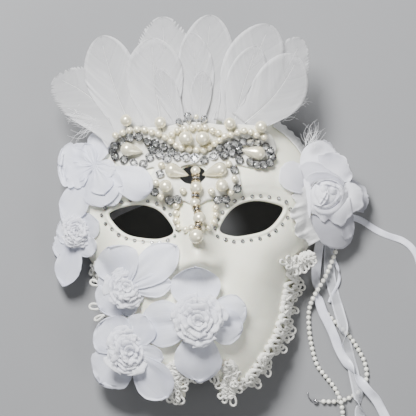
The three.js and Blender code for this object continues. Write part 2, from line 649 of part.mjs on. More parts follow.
// Spare length of a tie ribbon, wound into a flat coil on the table
const COIL = { inner: 18.5, outer: 27.5, height: 4.8 };
const COILS = { tie_coil_right: [182.8, -38.2], tie_coil_left: [-34.8, 54.85] };
function tieCoil([x, y]) {
  const profile = [[COIL.inner, 0.1], [COIL.outer, 0.1], [COIL.outer, COIL.height],
    [COIL.inner, COIL.height], [COIL.inner, 0.1]].map(([r, z]) => new THREE.Vector2(r, z));
  return new THREE.LatheGeometry(profile, 12).rotateX(Math.PI / 2).translate(x, y, 0);
}

const finish = (colour, roughness, metalness = 0) =>
  new THREE.MeshStandardMaterial({ color: colour, roughness, metalness });
const MATERIALS = {
  shell: finish("#e6e4d8", 0.5),
  feather: finish("#f2f2f4", 0.8),
  cloth: finish("#e9e9f0", 0.85),
  lace: finish("#eceade", 0.85),
  pearl: finish("#efe9dc", 0.2),
  stone: finish("#b9bcc0", 0.15, 0.6),
  ribbon: finish("#f0f0f5", 0.4),
  card: finish("#eeeae0", 0.7),
};

const dressing = new THREE.Group();
const cords = new THREE.Group();
function add(group, name, geometry, material) {
  const mesh = new THREE.Mesh(geometry, MATERIALS[material]);
  mesh.name = name;
  group.add(mesh);
}

add(dressing, "mask_shell", faceShell(), "shell");
for (const [name, spec] of Object.entries(FEATHERS)) add(dressing, name, feather(spec), "feather");
add(dressing, "brow_card", browCard(), "card");
add(dressing, "pearl_row_brow", beadRow(BROW_PEARLS, SMALL_PEARL, browHeight, 4, 0.8), "pearl");
add(dressing, "pearl_row_crown", beadRow(CROWN_PEARLS, SMALL_PEARL, browHeight, 4, 2.4), "pearl");
add(dressing, "stone_chain_brow", beadRow(STONE_CHAIN, STONE, browHeight, 4, 1.3), "stone");
add(dressing, "stone_chain_left", beadRow(STONE_CHAIN_LEFT, STONE, browHeight, 4, 0.8), "stone");
for (const [name, [x, y, radius]] of Object.entries(SINGLE_PEARLS))
  add(dressing, name, pearl(x, y, radius, 1), "pearl");
for (const [name, [bulb, tip, radius, lift]] of Object.entries(DROPS))
  add(dressing, name, dropPearl(bulb, tip, radius, lift), "pearl");
add(dressing, "pearl_column", pearlColumn(), "pearl");
const onFace = (x, y) => faceHeight(x, y) + 1.8;
add(dressing, "pearl_chain_nose_left", beadRow(CHAIN_NOSE_LEFT, 2.2, onFace, 5), "pearl");
add(dressing, "pearl_chain_nose_right", beadRow(CHAIN_NOSE_RIGHT, 2.2, onFace, 5), "pearl");
for (const [name, spec] of Object.entries(FLOWERS)) add(dressing, name, whorl(spec), "cloth");
for (const [name, spec] of Object.entries(RUFFLES)) add(dressing, name, ruffle(spec), "cloth");
add(dressing, "rose_outer_petals", roseOuter(), "cloth");
add(dressing, "rose_inner_petals", roseMiddle(), "cloth");
add(dressing, "rose_heart", roseHeart(), "cloth");
add(dressing, "lace_right", laceBand({ angles: [-20, -76], scallops: 8 }), "lace");
add(dressing, "lace_left", laceBand({ angles: [-104, -171], scallops: 8 }), "lace");
for (const [name, root, tip] of LACE_LEAVES)
  add(dressing, name, blade(dressHeight, { root, tip, width: 12, lift: 2, stations: 4 }), "lace");
add(dressing, "lace_brow_right", laceBand({ angles: [42, 54], scallops: 3, reach: 3.4 }), "lace");
for (const [name, spec] of Object.entries(ROUTES)) add(cords, name, cordTube(spec), "ribbon");
for (const [name, at] of Object.entries(COILS)) add(cords, name, tieCoil(at), "ribbon");

// The origin is on the table, under the middle of the dressed mask
const box = new THREE.Box3().setFromObject(dressing, true);
const group = new THREE.Group();
group.add(dressing, cords);
group.position.set(-(box.min.x + box.max.x) / 2, -(box.min.y + box.max.y) / 2, 0);

export default group;
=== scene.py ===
# A white carnival mask for the whole face, lying face up on a table: a moulded shell with a fan of
# feathers, a brow piece of pearls and stones, cloth flowers, a rose, lace, ribbons and bead strings.
import math
import random

import bpy
import numpy as np
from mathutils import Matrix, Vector
from mathutils.geometry import delaunay_2d_cdt


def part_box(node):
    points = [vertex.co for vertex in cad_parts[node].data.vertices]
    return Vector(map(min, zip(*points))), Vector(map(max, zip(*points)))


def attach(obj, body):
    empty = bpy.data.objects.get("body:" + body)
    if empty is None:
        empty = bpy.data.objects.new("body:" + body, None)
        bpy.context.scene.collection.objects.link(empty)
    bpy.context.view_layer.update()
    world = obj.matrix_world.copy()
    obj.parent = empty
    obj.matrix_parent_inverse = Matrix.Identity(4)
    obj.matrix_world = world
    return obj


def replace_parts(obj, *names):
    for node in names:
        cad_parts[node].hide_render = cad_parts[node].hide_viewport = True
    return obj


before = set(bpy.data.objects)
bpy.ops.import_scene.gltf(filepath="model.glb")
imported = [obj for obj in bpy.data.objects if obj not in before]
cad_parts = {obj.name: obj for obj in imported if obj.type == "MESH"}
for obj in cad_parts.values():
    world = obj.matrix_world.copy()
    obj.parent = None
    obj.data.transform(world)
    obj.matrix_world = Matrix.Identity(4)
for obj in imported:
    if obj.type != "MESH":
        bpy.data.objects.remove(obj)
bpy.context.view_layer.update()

# The mask lies as it was photographed, seen from straight above through a long lens. Its sizes are
# millimetres measured on the face: x to the right, y to the forehead, z up from the table, and the
# shell's own box says where the middle of the face is in the model's metres.
MM = 0.001
SHELL_TOP = 96.6
VIEW_WIDTH = 291.2
VIEW_PLANE = 40
VIEW_MIDDLE = (8.4, 18.6)
VIEW_TURN = -1.9
CAMERA_HEIGHT = 3040
CAMERA_REACH = 20
SENSOR = 36
shell_low, shell_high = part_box("mask_shell")
FACE_MIDDLE = np.array([(shell_low.x + shell_high.x) / 2 / MM, shell_high.y / MM - SHELL_TOP, 0.0])


def metres(points):
    return (np.asarray(points, float) + FACE_MIDDLE) * MM


camera = bpy.data.objects.new("camera", bpy.data.cameras.new("camera"))
bpy.context.scene.collection.objects.link(camera)
camera.data.sensor_width = SENSOR
camera.data.lens = SENSOR * (CAMERA_HEIGHT - VIEW_PLANE) / VIEW_WIDTH
camera.data.clip_end = CAMERA_REACH
camera.location = metres([*VIEW_MIDDLE, CAMERA_HEIGHT])
camera.rotation_euler = (0, 0, math.radians(VIEW_TURN))
bpy.context.scene.camera = camera


# Two tie ribbons of white satin leave the temples, one glued in under the rose and one inside the
# shell. The spare length of each is wound on edge into a flat coil and held by a short band of
# the same ribbon.
def make_piece(name, points, faces, materials, slot, smooth=True, bands=None):
    """One mesh piece from points in millimetres, riding on the mask; bands are its faces' materials."""
    mesh = bpy.data.meshes.new(name)
    mesh.from_pydata(metres(points).tolist(), [], [tuple(int(k) for k in face) for face in faces])
    for material in materials:
        mesh.materials.append(material)
    if bands is not None:
        mesh.polygons.foreach_set("material_index", np.asarray(bands, np.int32))
    mesh.polygons.foreach_set("use_smooth", np.full(len(mesh.polygons), smooth))
    mesh.update()
    piece = bpy.data.objects.new(name, mesh)
    bpy.context.scene.collection.objects.link(piece)
    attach(piece, "root")
    return piece


def surface(name, colour, roughness, **sockets):
    """A new material with one Principled shader, its plain values set on the shader's sockets."""
    material = bpy.data.materials.new(name)
    material.use_nodes = True
    shader = material.node_tree.nodes["Principled BSDF"]
    shader.inputs["Base Color"].default_value = (*colour, 1)
    shader.inputs["Roughness"].default_value = roughness
    for socket, value in sockets.items():
        shader.inputs[socket.replace("_", " ")].default_value = value
    return material


def add_node(material, kind, inputs=(), **settings):
    """A shader node with its settings, and its inputs set to values or linked to other outputs."""
    node = material.node_tree.nodes.new("ShaderNode" + kind)
    for setting, value in settings.items():
        setattr(node, setting, value)
    for socket, value in dict(inputs).items():
        if isinstance(value, bpy.types.NodeSocket):
            material.node_tree.links.new(value, node.inputs[socket])
        else:
            node.inputs[socket].default_value = value
    return node


def where(material, stretch=(1, 1, 1), source="Object"):
    """Coordinates on the piece, in metres for Object, stretched along each axis."""
    place = add_node(material, "TexCoord")
    spread = add_node(material, "Mapping", {"Vector": place.outputs[source], "Scale": stretch})
    return spread.outputs["Vector"]


def noise(material, scale, detail=3, at=None):
    """A cloudy pattern on the piece, finer with a larger scale."""
    made = add_node(material, "TexNoise", {"Vector": at or where(material), "Scale": scale,
                                           "Detail": detail, "Roughness": 0.55})
    return made.outputs["Fac"]


def shade_between(material, factor, dark, light, start=0.35, end=0.65, socket="Base Color"):
    """Feeds a colour, or a grey for a number socket, that runs from dark to light with the factor."""
    ramp = add_node(material, "ValToRGB", {"Fac": factor})
    for stop, place, colour in zip(ramp.color_ramp.elements, (start, end), (dark, light)):
        stop.position = place
        stop.color = (*np.broadcast_to(colour, 3), 1)
    shader = material.node_tree.nodes["Principled BSDF"]
    material.node_tree.links.new(ramp.outputs["Color"], shader.inputs[socket])


def emboss(material, heights, depth):
    """Bump from one or more height patterns, each (output, share), with depth in millimetres."""
    total = None
    for output, share in heights:
        scaled = add_node(material, "Math", {0: output, 1: share}, operation="MULTIPLY").outputs[0]
        total = scaled if total is None else add_node(
            material, "Math", {0: total, 1: scaled}, operation="ADD").outputs[0]
    bump = add_node(material, "Bump", {"Height": total, "Distance": depth * MM})
    shader = material.node_tree.nodes["Principled BSDF"]
    material.node_tree.links.new(bump.outputs["Normal"], shader.inputs["Normal"])


def let_light_through(material, share, colour):
    """Thin cloth: part of the light that falls on the back comes through the front."""
    tree = material.node_tree
    glow = add_node(material, "BsdfTranslucent", {"Color": (*colour, 1)})
    both = add_node(material, "MixShader", {"Fac": share, 1: tree.nodes["Principled BSDF"].outputs[0],
                                            2: glow.outputs[0]})
    tree.links.new(both.outputs[0], tree.nodes["Material Output"].inputs["Surface"])
    return both


satin = surface("white_satin", (0.8, 0.81, 0.89), 0.34, Sheen_Weight=0.3, Sheen_Roughness=0.4)
satin_threads = noise(satin, 900, 2, at=where(satin, (1, 1, 0.3)))
shade_between(satin, noise(satin, 160), (0.73, 0.74, 0.83), (0.86, 0.87, 0.94))
emboss(satin, [(satin_threads, 1.0)], 0.06)
let_light_through(satin, 0.12, (0.9, 0.9, 0.95))


def smooth_route(points, per_span=8):
    """The line that a limp cord takes through given points, without overshoot between them."""
    p = np.asarray(points, float)
    p = np.vstack([2 * p[0] - p[1], p, 2 * p[-1] - p[-2]])
    line = []
    for a, b, c, d in zip(p, p[1:], p[2:], p[3:]):
        t1 = np.linalg.norm(b - a) ** 0.5
        t2 = t1 + np.linalg.norm(c - b) ** 0.5
        t3 = t2 + np.linalg.norm(d - c) ** 0.5
        for t in np.linspace(t1, t2, per_span, endpoint=False):
            ab = (a * (t1 - t) + b * t) / t1
            bc = (b * (t2 - t) + c * (t - t1)) / (t2 - t1)
            cd = (c * (t3 - t) + d * (t - t2)) / (t3 - t2)
            abc = (ab * (t2 - t) + bc * t) / t2
            bcd = (bc * (t3 - t) + cd * (t - t1)) / (t3 - t1)
            line.append((abc * (t2 - t) + bcd * (t - t1)) / (t2 - t1))
    return np.vstack([line, p[-2]])


def along_of(line):
    """The direction of a line at each of its points."""
    step = np.gradient(line, axis=0)
    return step / np.linalg.norm(step, axis=1, keepdims=True)


def run_of(line):
    """Distance from the start at each point of a line."""
    return np.concatenate([[0], np.cumsum(np.linalg.norm(np.diff(line, axis=0), axis=1))])


def tube_faces(rings, closed=False):
    """Points and faces of a tube from rings of points, with flat ends or joined to itself."""
    count, sides = rings.shape[:2]
    faces = [(r * sides + k, r * sides + (k + 1) % sides,
              (r + 1) % count * sides + (k + 1) % sides, (r + 1) % count * sides + k)
             for r in range(count if closed else count - 1) for k in range(sides)]
    if not closed:
        faces += [tuple(range(sides - 1, -1, -1)), tuple(range((count - 1) * sides, count * sides))]
    return rings.reshape(-1, 3), faces


RIBBON_THICK = 0.35


def ribbon_mesh(line, width, twist=0.0, curl=0.25, columns=7):
    """A flat ribbon along a line, as a closed thin body. twist turns it about the line, in degrees."""
    along = along_of(line)
    width = np.broadcast_to(np.asarray(width, float), len(line))[:, None]
    turn = np.radians(np.broadcast_to(np.asarray(twist, float), len(line)))[:, None]
    level = np.cross([0, 0, 1.0], along)
    level /= np.linalg.norm(level, axis=1, keepdims=True)
    raised = np.cross(along, level)
    across = level * np.cos(turn) + raised * np.sin(turn)
    normal = np.cross(along, across)
    rows = []
    for side in (1, -1):
        for place in side * np.linspace(-1, 1, columns):
            edge = 1 - 0.5 * abs(place) ** 6
            height = side * RIBBON_THICK / 2 * edge + curl * (place ** 2 - 0.4)
            rows.append(line + across * width / 2 * place + normal * height)
    return tube_faces(np.stack(rows, axis=1))


def ease(value, start, end):
    """0 up to the start, 1 from the end on, and a soft step between them."""
    t = np.clip((np.asarray(value, float) - start) / (end - start), 0, 1)
    return t * t * (3 - 2 * t)


TIE_WIDTH = 4.6
TIE_LENGTH = 450
COIL_OUTSIDE = 26.4
COIL_PITCH = 2.4
COIL_HEIGHT = 2.45
COIL_STEPS = 32
ROCK_ANGLE, ROCK_LENGTH = 14, 5.3
COIL_LEAD = 14
BAND_PLACE = 2.2
BAND_REACH, BAND_HEIGHT, BAND_WIDTH, BAND_THICK = 4.4, 2.42, 4, 0.03
TIES = {
    "tie_ribbon_right": {
        "coil": "tie_coil_right", "middle": (182.8, -38.2), "route": [
            (98, 9.4, 2), (104.7, 9.2, 2), (108.8, 8.8, 1.4), (112.8, 7.9, 0.9), (116.8, 6.1, 0.7),
            (120.6, 3.6, 0.7), (124.6, 0.7, 0.7), (128.8, -2, 0.7), (132.8, -4.1, 0.7),
            (136.8, -5.8, 0.7), (141.2, -7.3, 0.7), (145.4, -9, 0.7), (150.5, -12.8, 0.7),
            (154.6, -18.5, 0.7), (156.6, -25, 0.7),
        ],
    },
    "tie_ribbon_left": {
        "coil": "tie_coil_left", "middle": (-34.8, 54.85), "route": [
            (-78, 4, 1.4), (-75, 5.4, 1.4), (-72, 7, 1.4), (-68.5, 8.9, 1), (-65, 11, 0.7),
            (-61, 13.8, 0.7), (-57, 16.5, 0.7), (-52.5, 18.7, 0.7), (-48, 20.5, 0.7),
            (-44, 22.1, 0.7), (-40, 23.5, 0.7), (-35, 24.9, 0.7), (-30, 26, 0.7), (-25, 26.9, 0.7),
            (-20, 27.6, 0.7),
        ],
    },
}


def coil_points(middle, entry, length):
    """The turns of a coil wound inwards anticlockwise from where the ribbon comes in."""
    start = math.atan2(entry[1] - middle[1], entry[0] - middle[0]) + 0.5
    points, wound = [], 0.0
    while wound < length:
        turns = len(points) / COIL_STEPS
        radius = COIL_OUTSIDE - COIL_PITCH * turns
        angle = start + 2 * math.pi * turns
        points.append((middle[0] + radius * math.cos(angle), middle[1] + radius * math.sin(angle),
                       COIL_HEIGHT))
        if turns:
            wound += math.dist(points[-1], points[-2])
    return points


def coil_band(middle):
    """The short band round the turns at one side of a coil."""
    out = np.array([math.cos(BAND_PLACE), math.sin(BAND_PLACE), 0])
    side = np.cross(out, [0, 0, 1])
    centre = np.array([*middle, COIL_HEIGHT]) + out * (COIL_OUTSIDE - 1.45 * COIL_PITCH) + (0, 0, 0.1)
    loop = [centre + out * BAND_REACH * math.cos(a) + np.array([0, 0, BAND_HEIGHT * math.sin(a)])
            for a in np.linspace(0, 2 * math.pi, 25)[:-1]]
    half = BAND_WIDTH / 2
    return tube_faces(np.array([[p + side * s + (p - centre) * t for s, t in
                                 ((-half, 0), (half, 0), (half, BAND_THICK), (-half, BAND_THICK))]
                                for p in loop]), closed=True)


for tie_name, tie in TIES.items():
    free = run_of(smooth_route(tie["route"]))[-1]
    turns = coil_points(tie["middle"], tie["route"][-1], TIE_LENGTH - free - COIL_LEAD)
    line = smooth_route(tie["route"] + turns, 4)
    gone = run_of(line)
    rocking = ROCK_ANGLE * np.sin(gone / ROCK_LENGTH) * ease(gone, 0, 8)
    rocking = rocking * (1 - ease(gone, free - 20, free - 6))
    on_edge = 90 * ease(gone, free - 6, free + COIL_LEAD) + rocking
    line[:, 2] = np.maximum(line[:, 2], TIE_WIDTH / 2 * np.abs(np.sin(np.radians(on_edge))) + 0.2)
    tie_piece = make_piece(tie_name + "_satin", *ribbon_mesh(line, TIE_WIDTH, on_edge, curl=0),
                           [satin], "ribbon")
    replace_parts(tie_piece, tie_name, tie["coil"])
    band = make_piece(tie_name + "_band", *coil_band(tie["middle"]), [satin], "ribbon")

# Three ribbons come from under the rose, where they are glued: a satin one that turns over on its
# way, a sheer organza one, and a thin satin one whose end lies under the others. They end bare,
# cut straight across.
STREAMER_ROUTES = {
    "streamer_satin": [
        (88.2, -3, 4.3), (86.4, -10, 4.3), (84.4, -20, 4.3), (83.1, -35.7, 4.3), (84, -45, 4.3),
        (87.1, -57.5, 4.3), (91, -66, 4.3), (95, -76, 4.2), (99.5, -88, 3.4), (106.7, -99.5, 4.2),
        (110.8, -105.5, 5.7), (114.7, -111, 5.9), (118.8, -116, 5.4), (122.8, -121, 3.2),
        (127.4, -130, 0.8), (133, -143, 0.8),
    ],
    "streamer_organza": [
        (94, -8, 0.8), (93, -14, 0.8), (92.8, -20, 0.8), (93.4, -33, 0.8), (96.8, -49.4, 0.9),
        (98.6, -57, 3), (101, -67, 5.1), (102.8, -78, 4.4), (104.6, -87, 1), (106.8, -96, 0.9),
        (108.5, -106, 3), (109.8, -114, 4.4), (110.6, -122, 3.2), (111.2, -132, 0.7),
        (111.8, -146, 0.7),
    ],
    "ribbon_thin": [
        (94.6, -7, 1.9), (94.6, -10.4, 1.9), (95, -14, 1.9), (95.8, -17.9, 1.9), (97, -22, 1.9),
        (98.6, -26.2, 1.9), (99.6, -29.4, 1.9), (99.9, -32.4, 1.9), (99.5, -35.6, 1.9),
        (98.4, -39, 1.9), (96.9, -41.8, 1.9), (95.4, -44.3, 1.9), (94, -46.6, 1.9),
        (92.9, -48.8, 1.9), (92, -51, 1.9),
    ],
}


def see_through(material, before, share):
    """Sheer cloth: the given share of what lies behind it shows through, a number or an output."""
    tree = material.node_tree
    clear = add_node(material, "BsdfTransparent")
    both = add_node(material, "MixShader", {"Fac": share, 1: before.outputs[0], 2: clear.outputs[0]})
    tree.links.new(both.outputs[0], tree.nodes["Material Output"].inputs["Surface"])


def span(material, value, start, end, low, high):
    """A number that runs from low to high while the value runs from start to end."""
    made = add_node(material, "MapRange", {"Value": value, "From Min": start, "From Max": end,
                                           "To Min": low, "To Max": high})
    return made.outputs[0]


organza = surface("white_organza", (0.88, 0.89, 0.94), 0.4, Sheen_Weight=0.2)
weave = add_node(organza, "TexWave", {"Vector": where(organza, source="UV"), "Scale": 9.0},
                 bands_direction="X")
emboss(organza, [(weave.outputs["Fac"], 1.0)], 0.05)
organza_glow = let_light_through(organza, 0.25, (0.9, 0.92, 0.98))
selvedge = add_node(organza, "SeparateXYZ", {"Vector": where(organza, source="UV")})
see_through(organza, organza_glow, span(organza, selvedge.outputs["X"], 0.3, 0.46, 0.66, 0.0))


def lay_pattern(piece, places, name="weave"):
    """Pattern places on a piece: two numbers for each of its points."""
    layer = piece.data.uv_layers.new(name=name)
    corner = np.empty(len(piece.data.loops), np.int32)
    piece.data.loops.foreach_get("vertex_index", corner)
    layer.data.foreach_set("uv", np.asarray(places, np.float32)[corner].ravel())


# Width, cloth, and where along its length each one turns over: from, to, and how far in degrees
STREAMERS = {
    "streamer_satin": (6.6, satin, [(30, 48, 180), (92, 118, 180)]),
    "streamer_organza": (7.4, organza, [(58, 82, 180), (108, 128, -180)]),
    "ribbon_thin": (2.2, satin, [(18, 30, 180)]),
}
STREAMER_COLUMNS = 9
SWAY = ((15, 8.3), (8, 3.7))
PINCH_AT, PINCH_LENGTH, PINCH_SHARE = 39, 7, 0.25
for name, (width, cloth, turns) in STREAMERS.items():
    line = smooth_route(STREAMER_ROUTES[name], 10)
    gone = run_of(line)
    twist = sum(angle * ease(gone, start, end) for start, end, angle in turns)
    twist = twist + sum(angle * np.sin(gone / length) for angle, length in SWAY)
    line[:, 2] = np.maximum(line[:, 2], width / 2 * np.abs(np.sin(np.radians(twist))) + 0.5)
    if name == "streamer_satin":
        width_along = width * (1 - PINCH_SHARE * np.exp(-((gone - PINCH_AT) / PINCH_LENGTH) ** 2))
    else:
        width_along = width
    streamer = make_piece(name + "_cloth", *ribbon_mesh(line, width_along, twist,
                                                        columns=STREAMER_COLUMNS), [cloth], "ribbon")
    across = np.abs(np.linspace(-1, 1, STREAMER_COLUMNS)) / 2
    lay_pattern(streamer, np.c_[np.tile(across, 2 * len(line)),
                                np.repeat(gone, 2 * STREAMER_COLUMNS)], "across")
    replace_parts(streamer, name)

# Two strings of moulded pearl beads lie beside the ribbons, glued in under the rose as well. One
# runs down beside them, and the other crosses under them and ends in a metal bead with a pin.
pearl = surface("cream_pearl", (0.94, 0.88, 0.66), 0.26, Coat_Weight=1.0, Coat_Roughness=0.07,
                Metallic=0.45, Sheen_Weight=0.2, Sheen_Roughness=0.3)
shade_between(pearl, noise(pearl, 260), (0.89, 0.82, 0.58), (0.97, 0.92, 0.72))
thread = surface("white_thread", (0.8, 0.8, 0.76), 0.8)
silver = surface("bright_silver", (0.72, 0.72, 0.74), 0.16, Metallic=1.0)
shade_between(silver, noise(silver, 700), 0.1, 0.28, socket="Roughness")


def ball_mesh(centre, radius, around, up):
    """Points and faces of a bead, with its poles along z."""
    tilts = math.pi * np.arange(1, up) / up
    turns = 2 * math.pi * np.arange(around) / around
    rings = np.array([[(math.sin(tilt) * math.cos(turn), math.sin(tilt) * math.sin(turn),
                        -math.cos(tilt)) for turn in turns] for tilt in tilts])
    points, faces = tube_faces(rings)
    last = len(points) + 1
    low = [(0, 1 + (k + 1) % around, 1 + k) for k in range(around)]
    high = [(last - around + k, last - around + (k + 1) % around, last) for k in range(around)]
    faces = low + [tuple(k + 1 for k in face) for face in faces[:-2]] + high
    return centre + radius * np.vstack([(0, 0, -1), points, (0, 0, 1)]), faces


def gather(parts):
    """Several (points, faces) as one mesh, with the number of each face's part."""
    points, faces, owner, start = [], [], [], 0
    for number, (some_points, some_faces) in enumerate(parts):
        points.append(np.asarray(some_points, float))
        faces += [tuple(k + start for k in face) for face in some_faces]
        owner += [number] * len(some_faces)
        start += len(some_points)
    return np.vstack(points), faces, owner


def glued(name, parts, kinds, materials, slot, replaced=(), smooth=True):
    """Several (points, faces) as one piece. kinds says which material each part is made of."""
    points, faces, owner = gather(parts)
    piece = make_piece(name, points, faces, materials, slot, smooth, [kinds[part] for part in owner])
    if replaced:
        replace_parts(piece, *replaced)
    return piece


def round_tube(line, radius, sides, closed=False):
    """A round cord along a line. radius is one number, or one for each point."""
    line = np.asarray(line, float)
    if closed:
        step = np.roll(line, -1, 0) - np.roll(line, 1, 0)
        along = step / np.linalg.norm(step, axis=1, keepdims=True)
    else:
        along = along_of(line)
    guide = np.where(np.abs(along[:, 2:3]) > 0.9, [[1.0, 0, 0]], [[0, 0, 1.0]])
    side = np.cross(guide, along)
    side /= np.linalg.norm(side, axis=1, keepdims=True)
    up = np.cross(along, side)
    radius = np.broadcast_to(np.asarray(radius, float), len(line))[:, None]
    rings = np.stack([line + radius * (side * math.cos(a) + up * math.sin(a))
                      for a in np.linspace(0, 2 * math.pi, sides, endpoint=False)], axis=1)
    return tube_faces(rings, closed)


def at_run(line, distances):
    """Points of a line at the given distances from its start."""
    gone = run_of(line)
    return np.stack([np.interp(distances, gone, line[:, axis]) for axis in range(3)], axis=1)


BEAD = 3.3
BEAD_GAP = 0.4
END_BEAD = 1.9
BEAD_ROUTES = {
    "bead_string_long": [
        (100.5, -7, 4.8), (98, -14.5, 4.8), (95.6, -20.5, 4.8), (90, -32.4, 6.2),
        (84.8, -40.6, 7.4), (79.8, -49.2, 5.6), (77.4, -57.2, 2.2), (77, -66, 1.7),
        (78.3, -80, 1.7), (82, -95.2, 1.7), (87.4, -103, 1.7), (93, -110.5, 2.1),
        (96.3, -117, 4.8), (97.8, -121.5, 5.8), (98.7, -127, 4.6), (99.2, -134, 1.9),
        (99.4, -146, 1.7),
    ],
    "bead_string_crossed": [
        (88, -5, 1.7), (85.8, -12, 1.7), (84, -22, 1.7), (83, -36, 1.7), (85, -50, 1.7),
        (91, -60, 1.7), (99, -68.5, 1.7), (107.4, -78.2, 1.7), (112, -86, 1.7),
        (115.6, -94, 1.7), (116.9, -104, 1.7), (114.2, -111.5, 1.7), (107.5, -117.5, 1.7),
        (99.7, -120.8, 1.7), (91.1, -121.6, 1.7), (82, -120.8, 1.7),
    ],
}
string_bead = surface("string_bead", (0.88, 0.87, 0.79), 0.3, Coat_Weight=1.0, Coat_Roughness=0.1)
shade_between(string_bead, noise(string_bead, 200), (0.82, 0.81, 0.72), (0.92, 0.915, 0.85))
for name, route in BEAD_ROUTES.items():
    line = smooth_route(route, 10)
    line[:, 2] = np.maximum(line[:, 2], BEAD / 2 + 0.1)
    length = run_of(line)[-1]
    parts = [ball_mesh(centre, BEAD / 2 * 1.04, 12, 8)
             for centre in at_run(line, np.arange(BEAD / 2, length - BEAD / 2, BEAD + BEAD_GAP))]
    string = glued(name + "_beads", [round_tube(line, 0.22, 5)] + parts, [1] + [0] * len(parts),
                   [string_bead, thread], "pearl", [name])
    ends = []
    if name == "bead_string_crossed":
        tail = line[-1] + np.array([-END_BEAD, 0.1, 0.2])
        pin = [tail, tail + (-3, 0.8, 0), tail + (-5, 3.2, -0.4), tail + (-5.4, 6.5, -1.2)]
        knob = [ball_mesh(tail, END_BEAD, 16, 10), round_tube(smooth_route(pin), 0.4, 6)]
        ends = [glued("string_end_bead", knob, [0, 0], [silver], "stone")]


# The shell is one moulded face, 2.6 mm thick, painted ivory and left satin, with a fine grain. Its
# eye openings, the opening above the nose and the notch under the chin are cut and rounded over.
WALL = 2.6
FACE_DEPTH = 58
DOME_POWER = 2.6
BROW_LIFT = 24
POLE_Y = -8
RIM_RADII = np.array([109, 104.4, 93.2, 84, 75.5, 72.5, 80, 89.5, 98.8, 103.3, 104, 104.5, 104.6])
NOSE_TOP, NOSE_TIP, NOSE_FOOT, NOSE_HEIGHT, NOSE_HALF = 34, -17, -31, 21, 8
EYE = np.array([[61.8, 16.7], [56.5, 7.6], [49, 2], [38, -0.8], [25, -1.6], [16.2, 2.6],
                [21.5, 13.4], [28.5, 19.3], [38.5, 22.2], [51, 21.2]])
BROW_HOLE_X, BROW_HOLE_Y = -1.5, 42
CHIN_NOTCH_HALF, CHIN_NOTCH_TOP = 12.5, -95
NOTCH_ARCH = 7

# Swellings and hollows of the face: height, place, and how wide they are across and along
RELIEF = {
    "wing of the nose": (6.5, 11.5, -22, 6, 7),
    "brow": (4.5, 33, 36, 34, 11),
    "eye socket": (-7, 36, 12, 22, 15),
    "cheek": (5.5, 45, -24, 20, 22),
    "hollow of the cheek": (-3, 44, -62, 16, 20),
    "muzzle": (5, 0, -62, 30, 20),
    "upper lip": (3.5, 0, -56, 19, 4.5),
    "lower lip": (4, 0, -67, 16, 4.5),
    "line of the mouth": (-3, 0, -61, 27, 2.6),
    "chin": (5, 0, -90, 22, 13),
}
FINE_RELIEF = {
    "nostril": (-2.2, 6.6, -28.5, 2.6, 2.4),
    "groove over the lip": (-1.1, 0, -45, 3.2, 7),
    "edge of the groove": (0.7, 4.6, -45, 2.2, 7),
    "bow of the lip": (1.0, 8, -54.5, 5, 3),
    "corner of the mouth": (-1.2, 21, -61, 4, 3),
    "crease beside the nose": (-1.3, 17, -34, 4, 6),
}


def swollen(x, y, relief):
    """The summed height of some swellings, the same on both sides of the face."""
    return sum(height * np.exp(-((np.abs(x) - at_x) / wide_x) ** 2 - ((y - at_y) / wide_y) ** 2)
               for height, at_x, at_y, wide_x, wide_y in relief.values())


def rim_radius(x, y):
    """How far the outline is from the middle of the face, in the direction of a point."""
    place = (np.degrees(np.arctan2(y - POLE_Y, np.abs(x))) + 90) / 15
    i = np.clip(np.floor(place).astype(int), 0, len(RIM_RADII) - 2)
    t = place - i
    a, b, c, d = (RIM_RADII[np.clip(i + k, 0, len(RIM_RADII) - 1)] for k in (-1, 0, 1, 2))
    return b + 0.5 * t * (c - a + t * (2 * a - 5 * b + 4 * c - d + (3 * b - a - 3 * c + d) * t))


def from_pole(x, y):
    """Distance from the place that the outline's radii are measured from."""
    return np.maximum(np.hypot(x, y - POLE_Y), 1e-6)


def rim_height(x, y):
    """How far the rim is off the table in the direction of a point."""
    return BROW_LIFT * ease(np.abs(y - POLE_Y) / from_pole(x, y), 0.5, 1)


def nose_height(x, y):
    """The ridge of the nose, steep at its foot and wider towards its tip."""
    along = np.clip((NOSE_TOP - y) / (NOSE_TOP - NOSE_TIP), 0, 1)
    ridge = np.where(y > NOSE_TIP, NOSE_HEIGHT * ease(along, 0, 1) ** 0.85,
                     NOSE_HEIGHT * (1 - ease(NOSE_TIP - y, 0, NOSE_TIP - NOSE_FOOT)))
    return ridge * np.exp(-(x / (NOSE_HALF + 3.5 * along)) ** 2)


def face_height(x, y, fine=False):
    """The outside of the shell over the table, with its nostrils and creases where fine is asked."""
    out = np.minimum(from_pole(x, y) / rim_radius(x, y), 1)
    rim = rim_height(x, y)
    dome = np.sqrt(np.maximum(1 - out ** DOME_POWER, 0))
    relief = nose_height(x, y) + swollen(x, y, RELIEF)
    if fine:
        relief = relief + swollen(x, y, FINE_RELIEF)
    return rim + (FACE_DEPTH - rim) * dome + relief * (1 - out ** 6)


def face_normal(x, y):
    """The direction straight off the face."""
    slope_x = face_height(x + 0.5, y) - face_height(x - 0.5, y)
    slope_y = face_height(x, y + 0.5) - face_height(x, y - 0.5)
    normal = np.stack([-slope_x, -slope_y, np.ones_like(slope_x)], axis=-1)
    return normal / np.linalg.norm(normal, axis=-1, keepdims=True)


def spaced_round(outline, count, start=0.0):
    """Evenly spaced places round a closed outline, the first of them a share of a step in."""
    closed = np.vstack([outline, outline[:1]])
    gone = run_of(closed)
    wanted = (np.arange(count) + start) * (gone[-1] / count)
    return np.stack([np.interp(wanted, gone, closed[:, k]) for k in (0, 1)], axis=1)


